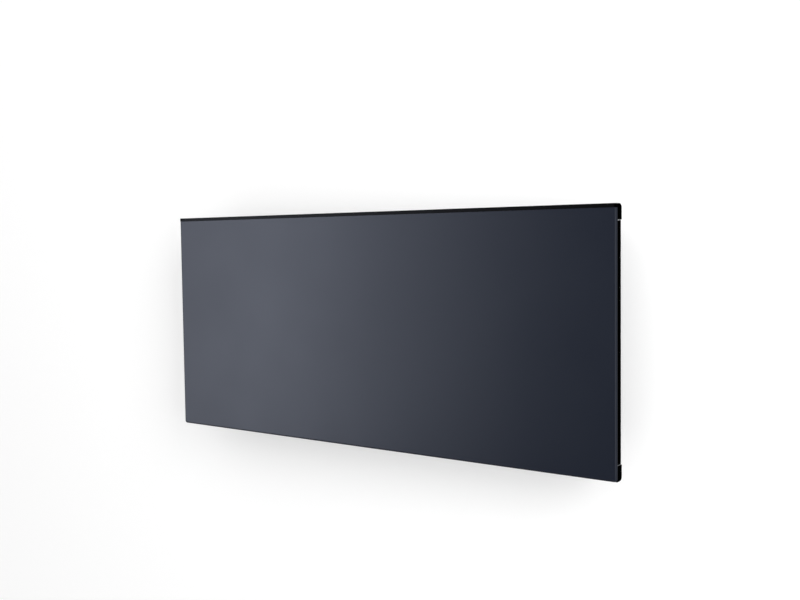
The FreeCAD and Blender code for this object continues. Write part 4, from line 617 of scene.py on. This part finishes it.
# two lit digits and a degree ring behind the smoked window
digitLook = {
    "digits": "21", "wide": 0.0046, "tall": 0.0088, "pitch": 0.0068, "half": 0.00048, "trim": 0.00012,
    "shift": -0.0012, "sink": 0.00005, "proud": 0.0002, "degree": 0.0009, "degreeHalf": 0.00028,
    "degreeDrop": 0.0008,
}
litStrokes = {"2": "abged", "1": "bc"}


def digitStrokes(look):
    side, rise = look["wide"] / 2, look["tall"] / 2
    return {
        "a": ((0, rise), side, 0), "g": ((0, 0), side, 0), "d": ((0, -rise), side, 0),
        "b": ((side, rise / 2), rise / 2, 90), "c": ((side, -rise / 2), rise / 2, 90),
        "f": ((-side, rise / 2), rise / 2, 90), "e": ((-side, -rise / 2), rise / 2, 90),
    }


def lightDigits(look):
    mesh = bmesh.new()
    seat = topSeat("display_module", look["shift"])
    strokes = digitStrokes(look)
    low, high = -look["sink"], look["proud"]
    for place, digit in enumerate(look["digits"]):
        offset = (place - 0.5) * look["pitch"]
        for stroke in litStrokes[digit]:
            (x, y), reach, turn = strokes[stroke]
            reach, half = reach - look["trim"], look["half"]
            outline = [
                (-reach, 0), (half - reach, -half), (reach - half, -half), (reach, 0), (reach - half, half),
                (half - reach, half),
            ]
            if turn:
                outline = [(-b, a) for a, b in outline]
            raisePlate(mesh, seat, [(offset + x + a, y + b) for a, b in outline], low, high)
    corner = (1.5 * look["pitch"] - look["wide"] / 4, look["tall"] / 2 - look["degreeDrop"])
    raiseArc(mesh, seat, corner, look["degree"], look["degreeHalf"], 0, 360, low, high)
    newPiece("display_digits", mesh, "litDigit", "heater")


lightDigits(digitLook)
print("controls detailed")

# cable gland: grip ribs round its dome and a soft lip in its mouth
glandLook = {
    "ribs": 20, "ribRadius": 0.00045, "ribCorners": 8, "ribFoot": 0.0072, "crown": 0.0022, "dome": 0.0068,
    "lipInner": 0.0036, "lipOuter": 0.0050, "lipProud": 0.0007, "lipSink": 0.0004, "lipCrown": 0.0003,
    "lipRounds": 3, "lipSteps": 48,
}


def ribGland(look):
    low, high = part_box("cable_gland")
    seat = seatAt(((low[0] + high[0]) / 2, (low[1] + high[1]) / 2, low[2]), (-1, 0, 0))
    ribs = bmesh.new()
    for rib in range(look["ribs"]):
        angle = 2 * math.pi * rib / look["ribs"]
        outline = []
        for corner in range(look["ribCorners"]):
            swing = 2 * math.pi * corner / look["ribCorners"]
            across = look["dome"] + look["ribRadius"] * math.cos(swing)
            around = look["ribRadius"] * math.sin(swing)
            outline.append((
                across * math.cos(angle) - around * math.sin(angle),
                across * math.sin(angle) + around * math.cos(angle),
            ))
        raisePlate(ribs, seat, outline, -look["ribFoot"], -look["crown"])
    newPiece("gland_ribs", ribs, "blackMoulding", "heater")
    lip = bmesh.new()
    radius, half = (look["lipInner"] + look["lipOuter"]) / 2, (look["lipOuter"] - look["lipInner"]) / 2
    raiseArc(lip, seat, (0, 0), radius, half, 0, 360, -look["lipSink"], look["lipProud"], look["lipSteps"])
    piece = newPiece("gland_lip", lip, "softRubber", "heater")
    roundEdges(piece, look["lipCrown"], look["lipRounds"], breakLook["sharp"])


ribGland(glandLook)
print("gland ribbed")

# slotted screws down in the terminal block's three wells
terminalLook = {
    "pitch": 0.012, "depth": 0.0053, "radius": 0.0023, "head": 0.0020, "slotHalf": 0.0003,
    "slotDepth": 0.0009, "bite": 0.00005, "steps": 24, "turns": (20, 65, -35),
}


def headHalf(look, turn):
    opening = math.asin(look["slotHalf"] / look["radius"])
    sweep = math.pi - 2 * opening
    angles = [turn + opening + sweep * step / look["steps"] for step in range(look["steps"] + 1)]
    return [(look["radius"] * math.cos(angle), look["radius"] * math.sin(angle)) for angle in angles]


def screwTerminals(look):
    mesh = bmesh.new()
    low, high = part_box("terminal_block")
    middleX, middleZ = (low[0] + high[0]) / 2, (low[2] + high[2]) / 2
    slotFloor = look["head"] - look["slotDepth"]
    for place, turn in enumerate(look["turns"]):
        spot = (middleX + (place - 1) * look["pitch"], high[1] - look["depth"], middleZ)
        seat = seatAt(spot, (-1, 0, 0), (0, 0, 1))
        way = math.radians(turn)
        halves = headHalf(look, way), headHalf(look, way + math.pi)
        raisePlate(mesh, seat, halves[0] + halves[1], -look["bite"], slotFloor)
        for half in halves:
            raisePlate(mesh, seat, half, slotFloor - look["bite"], look["head"])
    newPiece("terminal_screws", mesh, "zincPlate", "heater")


screwTerminals(terminalLook)
print("terminals screwed")


# stage: a white wall behind, a pale floor below, both seen from their front only
stageLook = {
    "wallPlace": 0.0006, "floorPlace": -0.80, "reach": 4.0, "wallTone": 0.66, "wallLift": 0.37,
    "floorTone": 0.55, "floorLift": 0.56, "patch": 2.0, "drift": 0.99,
}


def stageFinish(name, tone, lift, look):
    material = bpy.data.materials.new(name)
    material.use_nodes = True
    tree = material.node_tree
    tree.nodes.clear()
    spot = addNode(tree, "ShaderNodeTexCoord").outputs["Object"]
    patch = noiseAt(tree, spot, look["patch"])
    dull = tone * look["drift"]
    colour = blendOf(tree, patch, (dull, dull, dull, 1), (tone, tone, tone, 1))
    plain = addNode(tree, "ShaderNodeBsdfDiffuse", Color=colour).outputs["BSDF"]
    glow = addNode(tree, "ShaderNodeEmission", Color=(1, 1, 1, 1), Strength=lift).outputs["Emission"]
    seen = addNode(tree, "ShaderNodeAddShader", in0=plain, in1=glow).outputs["Shader"]
    clear = addNode(tree, "ShaderNodeBsdfTransparent").outputs["BSDF"]
    path = addNode(tree, "ShaderNodeLightPath")
    behind = addNode(tree, "ShaderNodeNewGeometry").outputs["Backfacing"]
    show = addNode(
        tree, "ShaderNodeMath", {"operation": "GREATER_THAN"}, in0=path.outputs["Is Camera Ray"], in1=behind
    ).outputs["Value"]  # looked at, and from the front
    mixed = addNode(tree, "ShaderNodeMixShader", in0=show, in1=clear, in2=seen).outputs["Shader"]
    addNode(tree, "ShaderNodeOutputMaterial", Surface=mixed)
    return material


def stagePlane(name, corners, material):
    mesh = bpy.data.meshes.new(name)
    mesh.from_pydata(corners, [], [(0, 1, 2, 3)])
    plane = bpy.data.objects.new(name, mesh)
    mesh.materials.append(material)
    scene.collection.objects.link(plane)


reach, wallY, floorZ = stageLook["reach"], stageLook["wallPlace"], stageLook["floorPlace"]
stagePlane(
    "roomWall",
    [(-reach, wallY, floorZ), (reach, wallY, floorZ), (reach, wallY, reach), (-reach, wallY, reach)],
    stageFinish("wallPaint", stageLook["wallTone"], stageLook["wallLift"], stageLook),
)
stagePlane(
    "roomFloor",
    [(-reach, -reach, floorZ), (reach, -reach, floorZ), (reach, reach, floorZ), (-reach, reach, floorZ)],
    stageFinish("floorPaint", stageLook["floorTone"], stageLook["floorLift"], stageLook),
)
print("stage set")


# light: a tall box on the right, a broad one high in front, one overhead, one behind for the back views,
# and three tall ones that only show as a sheen in the paint
lampLooks = {
    "rightBox": dict(place=(2.13, -1.33, 0.67), wide=1.0, high=2.0, watts=48, glow="plain", shows="matt"),
    "frontBox": dict(place=(0.35, -2.0, 1.7), wide=3.0, high=2.0, watts=12, glow="plain", shows="matt"),
    "topBox": dict(place=(0.0, -0.3, 2.2), wide=2.0, high=1.0, watts=10, glow="plain", shows="both"),
    "backBox": dict(place=(-0.9, 2.0, 1.3), wide=1.6, high=1.6, watts=40, glow="plain", shows="both"),
    "rightSheen": dict(place=(1.2, -2.0, 0.1), wide=2.0, high=2.2, watts=14, glow="plain", shows="sheen"),
    "leftSheen": dict(
        place=(-1.925, -1.793, 0.45), wide=0.8, high=2.8, watts=20.4, glow="cool", shows="sheen",
    ),
    "leftWing": dict(place=(-1.395, -2.224, 0.45), wide=0.5, high=2.8, watts=5, glow="cool", shows="sheen"),
}
glows = {"plain": (1, 1, 1), "cool": (0.90, 0.955, 1.12)}


def hangLamp(name, look):
    data = bpy.data.lights.new(name, "AREA")
    data.shape = "RECTANGLE"
    data.size = look["wide"]
    data.size_y = look["high"]
    data.energy = look["watts"]
    data.color = glows[look["glow"]]
    lamp = bpy.data.objects.new(name, data)
    lamp.location = look["place"]
    lamp.rotation_euler = (-lamp.location).to_track_quat("-Z", "Y").to_euler()
    lamp.visible_diffuse = look["shows"] != "sheen"
    lamp.visible_glossy = look["shows"] != "matt"
    scene.collection.objects.link(lamp)


for name, look in lampLooks.items():
    hangLamp(name, look)

# room light: white where it is looked at, a dim front and paler flanks where it is mirrored
roomLook = {"plain": 0.69, "front": 0.02, "flank": 0.40, "span": (-0.95, -0.1)}


def lightRoom(look):
    world = bpy.data.worlds.new("room")
    world.use_nodes = True
    scene.world = world
    tree = world.node_tree
    tree.nodes.clear()
    path = addNode(tree, "ShaderNodeLightPath")
    heading = addNode(tree, "ShaderNodeTexCoord").outputs["Generated"]
    depth = addNode(tree, "ShaderNodeSeparateXYZ", Vector=heading).outputs["Y"]
    mirrored = rangeOf(tree, depth, look["front"], look["flank"], *look["span"])
    plain = addNode(
        tree, "ShaderNodeMix", {"data_type": "FLOAT"}, in0=path.outputs["Is Glossy Ray"], in2=look["plain"],
        in3=mirrored,
    ).outputs[0]
    looked = addNode(
        tree, "ShaderNodeMath", {"operation": "MAXIMUM"}, in0=path.outputs["Is Camera Ray"],
        in1=path.outputs["Is Transmission Ray"],
    ).outputs["Value"]
    level = addNode(tree, "ShaderNodeMix", {"data_type": "FLOAT"}, in0=looked, in2=plain, in3=1.0).outputs[0]
    sky = addNode(tree, "ShaderNodeBackground", Color=(1, 1, 1, 1), Strength=level).outputs["Background"]
    addNode(tree, "ShaderNodeOutputWorld", Surface=sky)


lightRoom(roomLook)
print("lamps hung")
